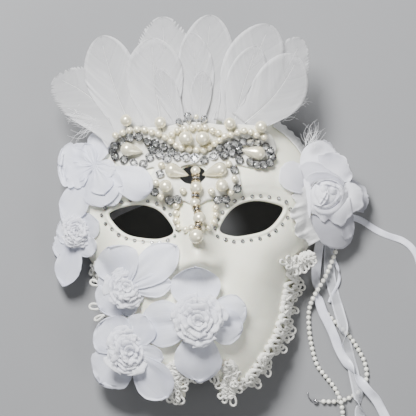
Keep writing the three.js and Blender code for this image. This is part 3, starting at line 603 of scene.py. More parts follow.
def closed_outline(corners, count):
    """A smooth closed outline through a few corners, with evenly spaced points."""
    corners = np.asarray(corners, float)
    ring = np.vstack([corners[-3:], corners, corners[:3]])
    per_span = 24
    dense = smooth_route(np.c_[ring, np.zeros(len(ring))], per_span)[:, :2]
    return spaced_round(dense[3 * per_span:][:len(corners) * per_span], count)


def grown(outline, distance):
    """The outline moved outwards by a distance."""
    step = np.roll(outline, -1, 0) - np.roll(outline, 1, 0)
    normal = np.stack([step[:, 1], -step[:, 0]], axis=1)
    normal /= np.linalg.norm(normal, axis=1, keepdims=True)
    follows = np.roll(outline, -1, 0)
    area = np.sum(outline[:, 0] * follows[:, 1] - follows[:, 0] * outline[:, 1])
    return outline + normal * distance * (1 if area > 0 else -1)


def inside(points, outline):
    """Which points lie inside a closed outline."""
    x, y = points[:, 0], points[:, 1]
    found = np.zeros(len(points), bool)
    for (ax, ay), (bx, by) in zip(outline, np.roll(outline, -1, 0)):
        crosses = (ay > y) != (by > y)
        with np.errstate(divide="ignore", invalid="ignore"):
            found ^= crosses & (x < (bx - ax) * (y - ay) / (by - ay) + ax)
    return found


def distance_to(points, outline):
    """Distance of each point to a closed outline."""
    best = np.full(len(points), 1e9)
    for a, b in zip(outline, np.roll(outline, -1, 0)):
        t = np.clip(((points - a) @ (b - a)) / max((b - a) @ (b - a), 1e-12), 0, 1)
        best = np.minimum(best, np.linalg.norm(points - a - t[:, None] * (b - a), axis=1))
    return best


def cut_to(outline, holes, places):
    """Triangles over a flat sheet with an outline and holes, through more places inside it."""
    loops = [outline, *holes]
    edges, start = [], 0
    for loop in loops:
        edges += [(start + k, start + (k + 1) % len(loop)) for k in range(len(loop))]
        start += len(loop)
    corners = [Vector(place) for place in np.vstack([*loops, *places])]
    placed, _, triangles, *_ = delaunay_2d_cdt(corners, edges, [], 0, 1e-5)
    flat, triangles = np.array([tuple(place) for place in placed]), np.array(triangles)
    centres = flat[triangles].mean(axis=1)
    wanted = inside(centres, outline)
    for hole in holes:
        wanted &= ~inside(centres, hole)
    return flat, triangles[wanted]


def border_of(triangles):
    """The edges that only one triangle has, in its direction."""
    known = {(int(a), int(b)) for t in triangles for a, b in (t[[0, 1]], t[[1, 2]], t[[2, 0]])}
    return [(a, b) for a, b in known if (b, a) not in known]


eye_right = closed_outline(EYE, 110)
eye_left = eye_right * (-1, 1)
brow_hole = closed_outline([(BROW_HOLE_X + x, BROW_HOLE_Y + y) for x, y in (
    (-8.5, -3.5), (0, -7), (8.5, -3.5), (8.5, 3.5), (0, 7), (-8.5, 3.5))], 40)


def shell_outline(count):
    """The rim of the shell, with the rounded notch under the chin."""
    angle = np.linspace(-math.pi / 2, 1.5 * math.pi, count, endpoint=False) + math.pi / count
    x, y = np.cos(angle), np.sin(angle)
    reach = rim_radius(x, POLE_Y + y)
    rim = np.stack([reach * x, POLE_Y + reach * y], axis=1)
    rim = rim[(np.abs(rim[:, 0]) > CHIN_NOTCH_HALF + 0.8) | (rim[:, 1] > 0)]
    arch_foot = CHIN_NOTCH_TOP - NOTCH_ARCH
    arch = [(-CHIN_NOTCH_HALF * math.cos(a), arch_foot + NOTCH_ARCH * math.sin(a))
            for a in np.linspace(0, math.pi, 17)]
    left = [(-CHIN_NOTCH_HALF, y) for y in np.arange(-115, arch_foot - 0.5, 1.5)]
    right = [(CHIN_NOTCH_HALF, y) for y in np.arange(arch_foot - 1.5, -116, -1.5)]
    return np.vstack([rim, left, arch, right])


# Places that the shell is meshed through: rows beside each opening, where its edge is rounded over,
# and rings around the face that thin out towards its middle
SPOKES, RINGS = 210, 92
EDGE_ROWS = (0.45, 0.95, 1.6, 2.4)
CLEAR_OF_EDGE = 2.9
rim_line = shell_outline(300)
openings = [eye_right, eye_left, brow_hole]
places = [grown(hole, row) for hole in openings for row in EDGE_ROWS]
for r in range(1, RINGS):
    out = math.sin(math.pi / 2 * (r / RINGS) ** 1.1) ** (2 / DOME_POWER)
    angle = 2 * math.pi * (np.arange(SPOKES) + 0.5 * (r % 2)) / SPOKES
    if r < 24:
        angle = angle[:: 3 if r < 10 else 2]
    reach = out * rim_radius(np.cos(angle), POLE_Y + np.sin(angle))
    ring = np.stack([reach * np.cos(angle), POLE_Y + reach * np.sin(angle)], axis=1)
    keep = (np.abs(ring[:, 0]) >= CHIN_NOTCH_HALF + 0.9) | (ring[:, 1] >= CHIN_NOTCH_TOP + 0.9)
    for hole in openings:
        keep &= ~inside(ring, hole) & (distance_to(ring, hole) > CLEAR_OF_EDGE)
    places.append(ring[keep])
flat, triangles = cut_to(rim_line, openings, places)

# The outside is the face with a rolled lip round each eye and a crease over it. The inside lies one
# wall under it, and the cut edge between them is rounded out.
LIP_HEIGHT, LIP_AT, LIP_FOOT, LIP_WIDTH = 0.7, 1.3, 3.1, 0.9
CREASE_AT, CREASE_DEPTH, CREASE_WIDTH = 9.5, 0.5, 0.9
EDGE_SWELL = 0.55
at_rim = distance_to(flat, rim_line) < 1e-4
at_rim &= from_pole(*flat.T) > rim_radius(*flat.T) - 1e-3
top_z = np.where(at_rim, rim_height(*flat.T), face_height(*flat.T, fine=True))
eye_reach = np.minimum(distance_to(flat, eye_right), distance_to(flat, eye_left))
top_z += LIP_HEIGHT * np.exp(-((eye_reach - LIP_AT) / LIP_WIDTH) ** 2)
top_z -= LIP_HEIGHT * np.exp(-((eye_reach - LIP_FOOT) / LIP_WIDTH) ** 2)
crease = grown(eye_right, CREASE_AT)
crease = crease[(crease[:, 1] > 14) & (crease[:, 0] > 22)]
mirrored = np.c_[np.abs(flat[:, 0]), flat[:, 1]]
crease_reach = np.min(np.linalg.norm(mirrored[:, None] - crease, axis=2), axis=1)
top_z -= CREASE_DEPTH * np.exp(-(crease_reach / CREASE_WIDTH) ** 2)
upper = np.c_[flat, top_z]
lower = upper - WALL * face_normal(*flat.T)
inward = np.c_[-flat[:, 0], POLE_Y - flat[:, 1], np.zeros(len(flat))]
inward /= np.maximum(np.linalg.norm(inward, axis=1, keepdims=True), 1e-6)
lower[at_rim] = upper[at_rim] + WALL * inward[at_rim]

used = np.zeros(len(flat), bool)
used[triangles.ravel()] = True
triangles = (np.cumsum(used) - 1)[triangles]
top, under = upper[used], lower[used]
count = len(top)
border = border_of(triangles)
outward = {}
for a, b in border:
    outward[a] = outward.get(a, 0) + np.cross(top[b] - top[a], [0, 0, 1.0])
edge_number = {a: 2 * count + k for k, a in enumerate(sorted(outward))}
edge = np.array([(top[a] + under[a]) / 2
                 + EDGE_SWELL * outward[a] / max(np.linalg.norm(outward[a]), 1e-9)
                 for a in sorted(outward)])
shell_faces = [tuple(t) for t in triangles]
shell_faces += [(a + count, c + count, b + count) for a, b, c in triangles]
for a, b in border:
    shell_faces += [(b, a, edge_number[a], edge_number[b]),
                    (edge_number[b], edge_number[a], a + count, b + count)]
bands = [0] * len(triangles) + [1] * len(triangles) + [0, 0] * len(border)

ivory = surface("ivory_paint", (0.91, 0.90, 0.75), 0.42, Coat_Weight=0.12, Coat_Roughness=0.35,
                Subsurface_Weight=0.08, Subsurface_Scale=0.004)
shade_between(ivory, noise(ivory, 34, 4), (0.875, 0.865, 0.71), (0.94, 0.93, 0.79))
grain = add_node(ivory, "TexVoronoi", {"Vector": where(ivory), "Scale": 1500.0, "Randomness": 1.0})
emboss(ivory, [(grain.outputs["Distance"], 0.5), (noise(ivory, 600, 4), 0.8),
               (noise(ivory, 60, 3), 2.4)], 0.12)
bare_inside = surface("bare_inside", (0.70, 0.68, 0.62), 0.8)
shade_between(bare_inside, noise(bare_inside, 90, 5), (0.62, 0.60, 0.53), (0.76, 0.74, 0.68))
emboss(bare_inside, [(noise(bare_inside, 420, 5), 1.0)], 0.5)

shell = make_piece("face_shell", np.vstack([top, under, edge]), shell_faces,
                   [ivory, bare_inside], "shell", bands=bands)
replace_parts(shell, "mask_shell")


# Small clear stones in bright clawed cups, 22 round each eye opening and about 6 mm apart, are
# glued to the paint with their cups sunk a little into the glue.
silver_cup = surface("dark_silver_cup", (0.17, 0.17, 0.175), 0.3, Metallic=1.0)
shade_between(silver_cup, noise(silver_cup, 900), 0.2, 0.42, socket="Roughness")
# The foil's patchy brightness is painted glints, standing in for the facets flashing light and dark.
foil = surface("stone_foil_painted_glints", (0.85, 0.85, 0.84), 0.4, Metallic=1.0)
shade_between(foil, noise(foil, 700), (0.6, 0.6, 0.59), (0.97, 0.97, 0.95), 0.4, 0.6)
crystal = surface("clear_crystal", (0.97, 0.975, 0.97), 0.03, Transmission_Weight=1.0, IOR=1.5)


def stood_on(points, centre, normal, turn=0.0):
    """Local points, z up, stood on a place with the given upright."""
    normal = np.asarray(normal, float)
    side = np.cross([math.sin(turn), math.cos(turn), 0], normal)
    side /= np.linalg.norm(side)
    front = np.cross(normal, side)
    points = np.asarray(points, float)
    return centre + points[:, :1] * side + points[:, 1:2] * front + points[:, 2:] * normal


def lathe_mesh(profile, sides):
    """A turned body from (radius, height) pairs, going up the outside."""
    turns = 2 * math.pi * np.arange(sides) / sides
    return tube_faces(np.array([[(r * math.cos(turn), r * math.sin(turn), z) for turn in turns]
                                for r, z in profile]))


def cut_stone(facets=8):
    """A round stone with a flat table, two rows of crown facets and a cone below, radius 1."""
    rows = [(0.55, 0.42, 0.5), (0.84, 0.24, 0.0), (1.0, 0.02, 0.5), (0.5, -0.42, 0.0)]
    points = [(r * math.cos(2 * math.pi * (k + shift) / facets),
               r * math.sin(2 * math.pi * (k + shift) / facets), z)
              for r, z, shift in rows for k in range(facets)]
    faces = [tuple(range(facets))]
    for start in range(0, 3 * facets, facets):
        for k in range(facets):
            a, b = start + k, start + (k + 1) % facets
            faces += [(a, a + facets, b + facets), (a, b + facets, b)]
    faces.append(tuple(range(4 * facets - 1, 3 * facets - 1, -1)))
    return np.array(points), faces


# Cup and the foil inside it, as (radius, height) shares of the stone's radius, and a claw's line
CUP_DEEP = 0.62
CUP = [(0.55, 0), (1.02, 0.25), (1.14, CUP_DEEP), (1.14, CUP_DEEP + 0.16), (1.03, CUP_DEEP + 0.16),
       (1.02, CUP_DEEP - 0.05), (0.52, CUP_DEEP - 0.5)]
CUP_FOIL = [(0.5, CUP_DEEP - 0.49), (1.0, CUP_DEEP - 0.06), (0.96, CUP_DEEP - 0.02),
            (0.46, CUP_DEEP - 0.46)]
CLAW = [(1.12, CUP_DEEP), (1.1, CUP_DEEP + 0.17), (0.88, CUP_DEEP + 0.34)]


def stone_in_cup(claws):
    """Stone, silvered hollow and clawed cup for a radius of 1, as three meshes standing on z = 0."""
    prongs = []
    for k in range(claws):
        turn = 2 * math.pi * (k + 0.5) / claws
        prongs.append(round_tube([(r * math.cos(turn), r * math.sin(turn), z) for r, z in CLAW],
                                 [0.17, 0.17, 0.12], 5))
    points, faces = cut_stone()
    stone = (points + (0, 0, CUP_DEEP + 0.02), faces)
    return stone, lathe_mesh(CUP_FOIL, 8), gather([lathe_mesh(CUP, 14)] + prongs)[:2]


def set_stones(name, places, replaced=()):
    """Stones at (centre, upright, radius, turn), as one piece of cups, foil and crystal."""
    parts = [(stood_on(radius * points, centre, upright, turn), faces)
             for centre, upright, radius, turn in places
             for points, faces in stone_in_cup(4 if radius > 1.6 else 3)]
    return glued(name, parts, [0, 1, 2] * len(places), [crystal, foil, silver_cup], "stone",
                 replaced, smooth=False)


EYE_STONE = 1.2
EYE_STONES = 22
EYE_STONE_GAP = 3.9
LOW_STONES = 8
chance = random.Random(11)
for side_name, opening, low_gap in (("right", eye_right, EYE_STONE_GAP), ("left", eye_left, 2.7)):
    places = []
    for at in spaced_round(grown(opening, EYE_STONE_GAP), EYE_STONES, 0.35):
        if at[1] < LOW_STONES:
            nearest = opening[np.argmin(np.linalg.norm(opening - at, axis=1))]
            at = nearest + (at - nearest) * low_gap / EYE_STONE_GAP
        at = at + (chance.uniform(-0.3, 0.3), chance.uniform(-0.3, 0.3))
        upright = face_normal(at[0], at[1])
        base = np.array([*at, float(face_height(at[0], at[1], True))]) - 0.25 * upright
        places.append((base, upright, EYE_STONE * chance.uniform(0.9, 1.08), chance.uniform(0, 6)))
    set_stones("eye_stones_" + side_name, places)

# The brow piece is sewn to a thin card covered in white felt, glued over the forehead and the
# feather roots, and cut out above the nose like the shell.
CARD_LIFT = 1.6
FEATHER_RISE, FEATHER_STEP, FEATHER_LAYERS = 50.5, 1.2, 5
CARD_EDGE = [(0, 78.6), (10, 78), (19, 76.2), (32, 76.2), (46, 73.8), (55.5, 66), (57.5, 58),
             (52.5, 49.5), (42, 45.5), (28, 48), (31, 41), (31, 31), (20, 25), (8, 24)]
CARD_HOLE = [(-10.5, 40), (-1.5, 34.5), (7.5, 40), (7.5, 47), (-1.5, 49.5), (-10.5, 47)]
CARD_THICK = 1.0


def fan_height(x, y):
    """The level of the lowest feather: arched across, and rising a little to the tips."""
    return FEATHER_RISE - 0.0022 * x * x + 0.04 * (y - 75)


def brow_height(x, y):
    """What the brow piece lies on: the face, stepping up over the feather roots."""
    face = face_height(x, y) + CARD_LIFT
    roots = fan_height(x, y) + FEATHER_LAYERS * FEATHER_STEP + CARD_LIFT
    return face + ease(y, 54, 70) * np.maximum(roots - face, 0)


def flat_sheet(outline, hole, spacing, height, thick):
    """A closed thin sheet with the given outline and hole, laid on a height."""
    low, high = outline.min(axis=0), outline.max(axis=0)
    places = np.array([(x + (j % 2) * spacing / 2, y)
                       for j, y in enumerate(np.arange(low[1], high[1], spacing))
                       for x in np.arange(low[0], high[0], spacing)])
    keep = inside(places, outline) & (distance_to(places, outline) > 0.6 * spacing)
    keep &= ~inside(places, hole) & (distance_to(places, hole) > 0.6 * spacing)
    flat, triangles = cut_to(outline, [hole], [places[keep]])
    z = height(*flat.T)
    count = len(flat)
    faces = [tuple(t) for t in triangles]
    faces += [(a + count, c + count, b + count) for a, b, c in triangles]
    faces += [(b, a, a + count, b + count) for a, b in border_of(triangles)]
    return np.vstack([np.c_[flat, z + thick / 2], np.c_[flat, z - thick / 2]]), faces


felt = surface("white_felt", (0.82, 0.81, 0.75), 0.9, Sheen_Weight=0.4, Sheen_Roughness=0.5)
shade_between(felt, noise(felt, 500, 5), (0.78, 0.77, 0.70), (0.85, 0.845, 0.775))
emboss(felt, [(noise(felt, 1600, 4), 1.0)], 0.25)
card_left = [(-x, y) for x, y in reversed(CARD_EDGE[1:])]
card_outline = closed_outline(CARD_EDGE + [(0, 20)] + card_left, 220)
card_sheet = flat_sheet(card_outline, closed_outline(CARD_HOLE, 40), 1.5,
                        lambda x, y: brow_height(x, y) - 0.1, CARD_THICK)
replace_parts(make_piece("brow_felt_card", *card_sheet, [felt], "card"), "brow_card")

# Two chains of 5 mm clear stones in clawed cups run over the card, crossing themselves in a loop
# on each side. They are sewn down, and so are the single stones on the wings beside the nose.
STONE = 2.75
STONE_CHAIN = [
    (-54.8, 65.2), (-49.9, 67.8), (-43.8, 69.7), (-37.9, 69.9), (-32, 66.9), (-26.5, 65.6),
    (-21.3, 62.7), (-15.8, 59.3), (-11.8, 55), (-6, 54), (0.2, 53.2), (6.7, 51.6), (13.3, 54.5),
    (17.2, 59.9), (23.4, 61.8), (28.6, 63.5), (33.7, 64.8), (38.8, 64.5), (43.9, 63.2),
    (49.2, 60.7), (52.5, 57.1), (53.5, 52.4), (51.8, 48.3), (47.6, 46.7), (43, 47), (38.4, 48.8),
    (30.8, 51.1), (26, 56.3), (31.4, 58.2), (20.4, 54.2),
]
STONE_CHAIN_LEFT = [
    (-56.7, 61), (-54.3, 56.8), (-48.6, 53.7), (-42.1, 51.5), (-35.4, 50.2), (-30.9, 55.2),
    (-29, 61.3), (-24.4, 57.1), (-19.2, 53.7),
]
WING_STONES = [(-24, 42.8), (-28.2, 31.5), (-18, 25.5), (-12.2, 25.3), (27.4, 43.9), (28.8, 32.2),
               (15, 24.2), (20.7, 24.9), (30.7, 58.6), (20.2, 55)]


def on_card(x, y, sink=0.0):
    """A place on the felt, or sunk a little into it."""
    return np.array([x, y, float(brow_height(x, y)) + 0.4 - sink])


def set_askew(x, y):
    """The upright of a stone on the card, tipped a little as a hand sets it."""
    slope = [float(brow_height(x + a, y + b) - brow_height(x - a, y - b)) for a, b in ((1, 0), (0, 1))]
    normal = np.array([-slope[0] / 2, -slope[1] / 2, 1.0])
    return normal / np.linalg.norm(normal) + (chance.uniform(-.12, .12), chance.uniform(-.12, .12), 0)


for name, places, replaced in (("stones_brow", STONE_CHAIN, ["stone_chain_brow"]),
                               ("stones_brow_left", STONE_CHAIN_LEFT, ["stone_chain_left"]),
                               ("stones_wings", WING_STONES, [])):
    set_stones(name, [(on_card(x, y), set_askew(x, y), STONE * chance.uniform(0.95, 1.03),
                       chance.uniform(0, 6)) for x, y in places], replaced)

# Pearls are moulded beads with a cream lustre. The small ones are strung along the top of the brow
# piece and round its crown, the large ones sit singly, and teardrops fill the loops and wings.
SMALL_PEARL = 2.5
BROW_PEARLS = [
    (-54.5, 71.3), (-49.4, 73.1), (-44.4, 74.5), (-39.1, 75), (-33.9, 74.4), (-29.1, 72.6),
    (-24.5, 71.3), (-19.9, 68.6), (-16, 66), (-12.3, 62.9), (-8.7, 61.1), (-3.6, 60), (1.7, 59.3),
    (6.6, 59), (10.6, 60.7), (14.4, 63.1), (18, 65.4), (21.6, 68), (25.9, 69), (30.6, 70.4),
    (35.3, 71.4), (40, 70.5), (43.6, 68.3), (49.2, 66.6),
]
CROWN_PEARLS = [(-15.1, 70.6), (-11.2, 73.1), (-6.3, 74.4), (-1, 74.8), (3.9, 75.1), (8.4, 74.7),
                (13.3, 72.4), (17.4, 70.6)]
WING_PEARLS = [(-23.1, 49.4), (-27.2, 37.3), (-8.7, 31.1), (-24.3, 27.4), (23.8, 48.8),
               (27.6, 38.3), (24.5, 28.6), (11, 30)]
SINGLE_PEARLS = {
    "pearl_top_far_left": (-46.6, 81.6, 4.2), "pearl_top_left": (-22.8, 79.2, 4.2),
    "pearl_top_right": (25.5, 76.9, 4.2), "pearl_top_far_right": (47.2, 74, 4.2),
    "pearl_centre_left": (-5.5, 67.8, 4.9), "pearl_centre_right": (6.3, 67.2, 4.9),
    "pearl_wing_left": (-20.6, 34.8, 4.5), "pearl_wing_right": (18.5, 33.9, 4.5),
}
THREAD_RADIUS = 0.25
for name, places, replaced, sink in (("pearls_brow_row", BROW_PEARLS, ["pearl_row_brow"], 0.3),
                                     ("pearls_crown_row", CROWN_PEARLS, ["pearl_row_crown"], 0.3),
                                     ("pearls_wings", WING_PEARLS, [], 0.5)):
    strung = [on_card(x, y, sink) + (0, 0, SMALL_PEARL) for x, y in places]
    parts = [ball_mesh(centre, SMALL_PEARL * chance.uniform(.96, 1.03), 18, 12) for centre in strung]
    if replaced:
        parts.append(round_tube(smooth_route(strung, 4), THREAD_RADIUS, 5))
    glued(name, parts, [0] * len(places) + [1], [pearl, thread], "pearl", replaced)

# Each single pearl is glued to the felt. The four that stand past the card's upper edge sit in
# caps on short wires that come from under it.
WIRE_FOOT = 71
PEARL_CAP = [(0.3, -0.3), (2.2, 0), (2.6, 0.7), (2.3, 0.75), (0.3, 0.2)]
for name, (x, y, radius) in SINGLE_PEARLS.items():
    seat = on_card(x, y, 0.4)
    parts = [ball_mesh(seat + (0, 0, radius), radius, 32, 22)]
    if name.startswith("pearl_top"):
        foot = on_card(0.93 * x, WIRE_FOOT, 0.6)
        stem = [foot, (foot + seat) / 2 + (0, 0, 0.4), seat + (0, 0, 0.5)]
        parts.append(round_tube(smooth_route(stem, 5), 0.45, 6))
        cap, cap_faces = lathe_mesh(PEARL_CAP, 16)
        parts.append((cap + seat, cap_faces))
    glued(name + "_bead", parts, [0, 1, 1], [pearl, silver_cup], "pearl", [name])

# Four teardrop pearls lie on their sides with their points to the middle, two in the loops of the
# stone chains and two on the wings, each glued down along its belly.
DROPS = {
    "drop_pearl_left": ((-46.4, 61.4), (-36.4, 59.4)),
    "drop_pearl_right": ((44.8, 55.6), (33.6, 58.2)),
    "drop_pearl_wing_left": ((-15.9, 46), (-4.9, 41.8)),
    "drop_pearl_wing_right": ((17.7, 45.4), (5.9, 41.8)),
}
DROP_RADIUS = 4.9
for name, (bulb, tip) in DROPS.items():
    length = math.dist(bulb, tip)
    profile = [(DROP_RADIUS * math.sin(t), -DROP_RADIUS * math.cos(t)) for t in np.linspace(0.12, 1.65, 13)]
    neck_r, neck_z = profile[-1]
    for t in np.linspace(0.07, 1, 15):
        profile.append((neck_r * (1 - t ** 1.35) ** 0.95 + 0.3 * t, neck_z + (length + 0.6 - neck_z) * t))
    points, faces = lathe_mesh(profile, 30)
    turn = math.atan2(tip[1] - bulb[1], tip[0] - bulb[0])
    along = np.array([math.cos(turn), math.sin(turn), 0])
    side = np.array([-math.sin(turn), math.cos(turn), 0])
    start = on_card(*bulb, 0.6) + (0, 0, DROP_RADIUS)
    dip = (float(brow_height(*tip)) - float(brow_height(*bulb)) - 2.2) / length
    down = np.clip(points[:, 2:3], 0, None) * dip
    points = (start + points[:, 2:3] * along + points[:, 0:1] * side
              + (points[:, 1:2] + down) * np.array([0, 0, 1.0]))
    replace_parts(make_piece(name + "_bead", points, faces, [pearl], "pearl"), name)

# Five pearls run down the bridge of the nose on a wire, with a small stone ring between each two,
# and a string of little pearls hangs in a curve from wing to wing.
PEARL_COLUMN = [(0.5, 44.8, 3.3), (0.6, 33.1, 4.5), (-0.6, 22.4, 3.6), (2.2, 11.7, 4.5),
                (-0.5, -0.6, 5.1)]
RING_STONES = 8
RING_STONE = [(1.05, 0), (1.05, 0.5), (0.6, 0.8)]
gold = surface("pale_gold_cup", (0.60, 0.50, 0.33), 0.25, Metallic=1.0)
shade_between(gold, noise(gold, 900), 0.15, 0.42, socket="Roughness")
column = [(np.array([x, y, float(brow_height(x, y)) + 0.7 + r]), r) for x, y, r in PEARL_COLUMN]
parts = [ball_mesh(centre, radius, 30, 20) for centre, radius in column]
parts.append(round_tube(smooth_route([centre for centre, _ in column], 6), 0.6, 6))
kinds = [0] * len(column) + [1]
for (low, low_radius), (high, high_radius) in zip(column, column[1:]):
    along = (high - low) / np.linalg.norm(high - low)
    room = np.linalg.norm(high - low) - low_radius - high_radius
    centre = low + along * (low_radius + room / 2)
    half = room / 2 + 0.35
    hub, hub_faces = lathe_mesh([(0.5, -half), (2.9, -half), (3.1, -half + 0.3), (2.9, -half + 0.6),
                                 (2.2, -half + 0.6), (2.2, half - 0.6), (2.9, half - 0.6),
                                 (3.1, half - 0.3), (2.9, half), (0.5, half)], 20)
    parts.append((stood_on(hub, centre, along), hub_faces))
    side = np.cross(along, [0, 0, 1.0])
    for turn in np.linspace(0, 2 * math.pi, RING_STONES + 1)[:-1] + 0.39:
        out = side * math.cos(turn) + np.cross(side, along) * math.sin(turn)
        square, square_faces = lathe_mesh(RING_STONE, 4)
        parts.append((stood_on(square, centre + 2.2 * out, out, 0.785), square_faces))
    kinds += [1] + [2] * RING_STONES
glued("nose_column", parts, kinds, [pearl, gold, silver_cup], "pearl", ["pearl_column"])

NOSE_STRING = [(-12.2, 26.2), (-13.7, 20.9), (-14.2, 15.6), (-14.1, 10.6), (-12.4, 6), (-7.6, 4.2),
               (-3.4, 5.2), (3.6, 4.6), (8.1, 4.9), (12.4, 8.8), (13.5, 13.7), (13.6, 18.6),
               (13.4, 23.8)]
NOSE_PEARL = 2.5
strung = [np.array([x, y, float(face_height(x, y, True)) + NOSE_PEARL + 0.4]) for x, y in NOSE_STRING]
parts = [ball_mesh(centre, NOSE_PEARL * chance.uniform(0.92, 1.04), 18, 12) for centre in strung[1:-1]]
parts.append(round_tube(smooth_route(strung, 5), THREAD_RADIUS, 5))
glued("nose_pearl_string", parts, [0] * len(strung[1:-1]) + [1], [pearl, thread], "pearl",
      ["pearl_chain_nose_left", "pearl_chain_nose_right"])

# Three clear teardrop stones in thin bright rims and a white bead stand above the crown on short
# wires that are sewn in under the pearls. The stones are backed with white.
TEARDROPS = [(-3.4, 81.3, 4.9, 98), (7.2, 79.6, 4.2, 58), (-8.9, 78.4, 4.0, 136)]
rim_silver = surface("thin_bright_rim", (0.66, 0.66, 0.67), 0.3, Metallic=0.6)
shade_between(rim_silver, noise(rim_silver, 900), 0.16, 0.36, socket="Roughness")
white_back = surface("white_stone_back", (0.9, 0.905, 0.92), 0.35, Metallic=0.2)
shade_between(white_back, noise(white_back, 300), (0.84, 0.845, 0.87), (0.95, 0.95, 0.96))
drop_turn = np.linspace(0, 2 * math.pi, 25)[:-1]
DROP_OUTLINE = np.c_[-np.cos(drop_turn),
                     0.86 * np.sin(drop_turn) * np.abs(np.sin(drop_turn / 2)) ** 1.3]
# Stone, back and rim as (share of size, height) rows
DROP_ROWS = (((0.86, 0.06), (0.86, 0.2), (0.66, 0.34), (0.4, 0.42)),
             ((0.8, -0.06), (0.8, 0.02), (0.3, -0.02)),
             ((0.84, -0.14), (0.97, -0.06), (0.97, 0.14), (0.9, 0.14), (0.88, -0.04)))
CROWN_FOOT = 74


def drop_body(size, rows):
    """A body with a teardrop outline, its round end ahead."""
    return tube_faces(np.array([np.c_[DROP_OUTLINE * size * share + (0.12 * size * (1 - share), 0),
                                      np.full(len(DROP_OUTLINE), height * size)]
                                for share, height in rows]))


parts, kinds = [], []
for x, y, size, heading in TEARDROPS:
    seat = on_card(x, y) + (0, 0, 1.4)
    foot = on_card(0.6 * x, CROWN_FOOT, 0.4)
    turn = math.radians(heading)
    ahead = np.array([math.cos(turn), math.sin(turn), 0.12])
    across = np.array([-math.sin(turn), math.cos(turn), 0])
    upright = np.cross(ahead, across)
    for rows in DROP_ROWS:
        body, body_faces = drop_body(size, rows)
        placed = seat + body[:, :1] * ahead + body[:, 1:2] * across + body[:, 2:] * upright
        parts.append((placed, body_faces))
    wire = [foot, (foot + seat) / 2 - (0, 0, 0.6), seat - (0, 0, 0.6)]
    parts.append(round_tube(smooth_route(wire, 4), 0.35, 5))
    kinds += [0, 1, 2, 2]
bead_seat = on_card(2.4, 82.3, -0.2)
parts += [ball_mesh(bead_seat + (0, 0, 1.7), 1.9, 18, 12),
          round_tube([on_card(2.0, CROWN_FOOT, 0.4), bead_seat + (0, 0, 0.6)], 0.35, 5)]
kinds += [3, 2]
glued("crown_teardrops", parts, kinds, [crystal, white_back, rim_silver, pearl], "stone", smooth=False)

# The fan is twelve cut white goose feathers in five layers, their quills glued under the brow
# piece. They are thin enough to show the next one through, and some edges have frayed.
def thin_body(rows, thick):
    """A thin closed body from rows of points, its thickness laid along the sheet's own normals."""
    points, columns = np.vstack(rows), len(rows[0])
    faces = [(i * columns + j, i * columns + j + 1, (i + 1) * columns + j + 1, (i + 1) * columns + j)
             for i in range(len(rows) - 1) for j in range(columns - 1)]
    corners = np.array(faces)
    upright = np.cross(points[corners[:, 2]] - points[corners[:, 0]],
                       points[corners[:, 3]] - points[corners[:, 1]])
    normals = np.zeros_like(points)
    for k in range(4):
        np.add.at(normals, corners[:, k], upright)
    normals /= np.maximum(np.linalg.norm(normals, axis=1, keepdims=True), 1e-9)
    if normals[:, 2].sum() < 0:
        faces = [tuple(reversed(face)) for face in faces]
        normals = -normals
    count = len(points)
    edges = np.array([(a, b) for face in faces for a, b in zip(face, (*face[1:], face[0]))])
    free = ~np.isin(edges[:, 0] * count + edges[:, 1], edges[:, 1] * count + edges[:, 0])
    walls = [(b, a, a + count, b + count) for a, b in edges[free]]
    under = [tuple(k + count for k in reversed(face)) for face in faces]
    both = np.vstack([points + normals * thick / 2, points - normals * thick / 2])
    return both, faces + under + walls


def patterned(rows, places, thick):
    """A thin body with the pattern places of its front, and the same places behind it."""
    return (*thin_body(rows, thick), np.vstack([*places, *places]))


def waver(count, chance, steps):
    """Smooth random numbers around 0, one for each of count places, changing over steps of them."""
    knots = np.array([chance.uniform(-1, 1) for _ in range(int(count / steps) + 4)])
    place = np.arange(count) / steps
    low = place.astype(int)
    t = place - low
    t = t * t * (3 - 2 * t)
    return knots[low] * (1 - t) + knots[low + 1] * t


plume = surface("goose_feather", (0.72, 0.72, 0.73), 0.48, Sheen_Weight=0.25, Sheen_Roughness=0.5)
barb_lines = noise(plume, 1, 2, at=where(plume, (420, 1.5, 1), "UV"))
shade_between(plume, noise(plume, 1, 2, at=where(plume, (30, 0.35, 1), "UV")),
              (0.75, 0.75, 0.765), (0.96, 0.96, 0.965), 0.25, 0.7)
# Seen along the quill the feather dims and thins towards its tip, seen across it at its rim. The dimming is
# painted shade in its colour, as if a dark ground showed through the thin vane
plume_place = add_node(plume, "SeparateXYZ", {"Vector": where(plume, source="UV")})
plume_along, plume_across = plume_place.outputs["X"], plume_place.outputs["Y"]
plume_painted_dim = add_node(plume, "Math", {0: span(plume, plume_along, 0.36, 0.96, 1.0, 0.74),
                                     1: span(plume, plume_across, 0.55, 1.0, 1.0, 0.93)},
                     operation="MULTIPLY")
plume_colour = plume.node_tree.nodes["Principled BSDF"].inputs["Base Color"]
painted_dimmed = add_node(plume, "VectorMath", {0: plume_colour.links[0].from_socket,
                                        "Scale": plume_painted_dim.outputs[0]}, operation="SCALE")
plume.node_tree.links.new(painted_dimmed.outputs["Vector"], plume_colour)
emboss(plume, [(barb_lines, 1.0)], 0.12)
plume_glow = let_light_through(plume, 0.25, (0.85, 0.85, 0.87))
plume_thin = span(plume, plume_along, 0.3, 0.95, 0.22, 0.72)
see_through(plume, plume_glow, span(plume, plume_across, 0.88, 0.99, plume_thin, 0.04))
quill_horn = surface("quill_horn", (0.93, 0.925, 0.9), 0.35, Subsurface_Weight=0.2)
shade_between(quill_horn, noise(quill_horn, 200), (0.9, 0.89, 0.85), (0.95, 0.945, 0.92))
fluff = surface("loose_down", (0.88, 0.88, 0.9), 0.6)
shade_between(fluff, noise(fluff, 300), (0.80, 0.80, 0.82), (0.94, 0.94, 0.95))

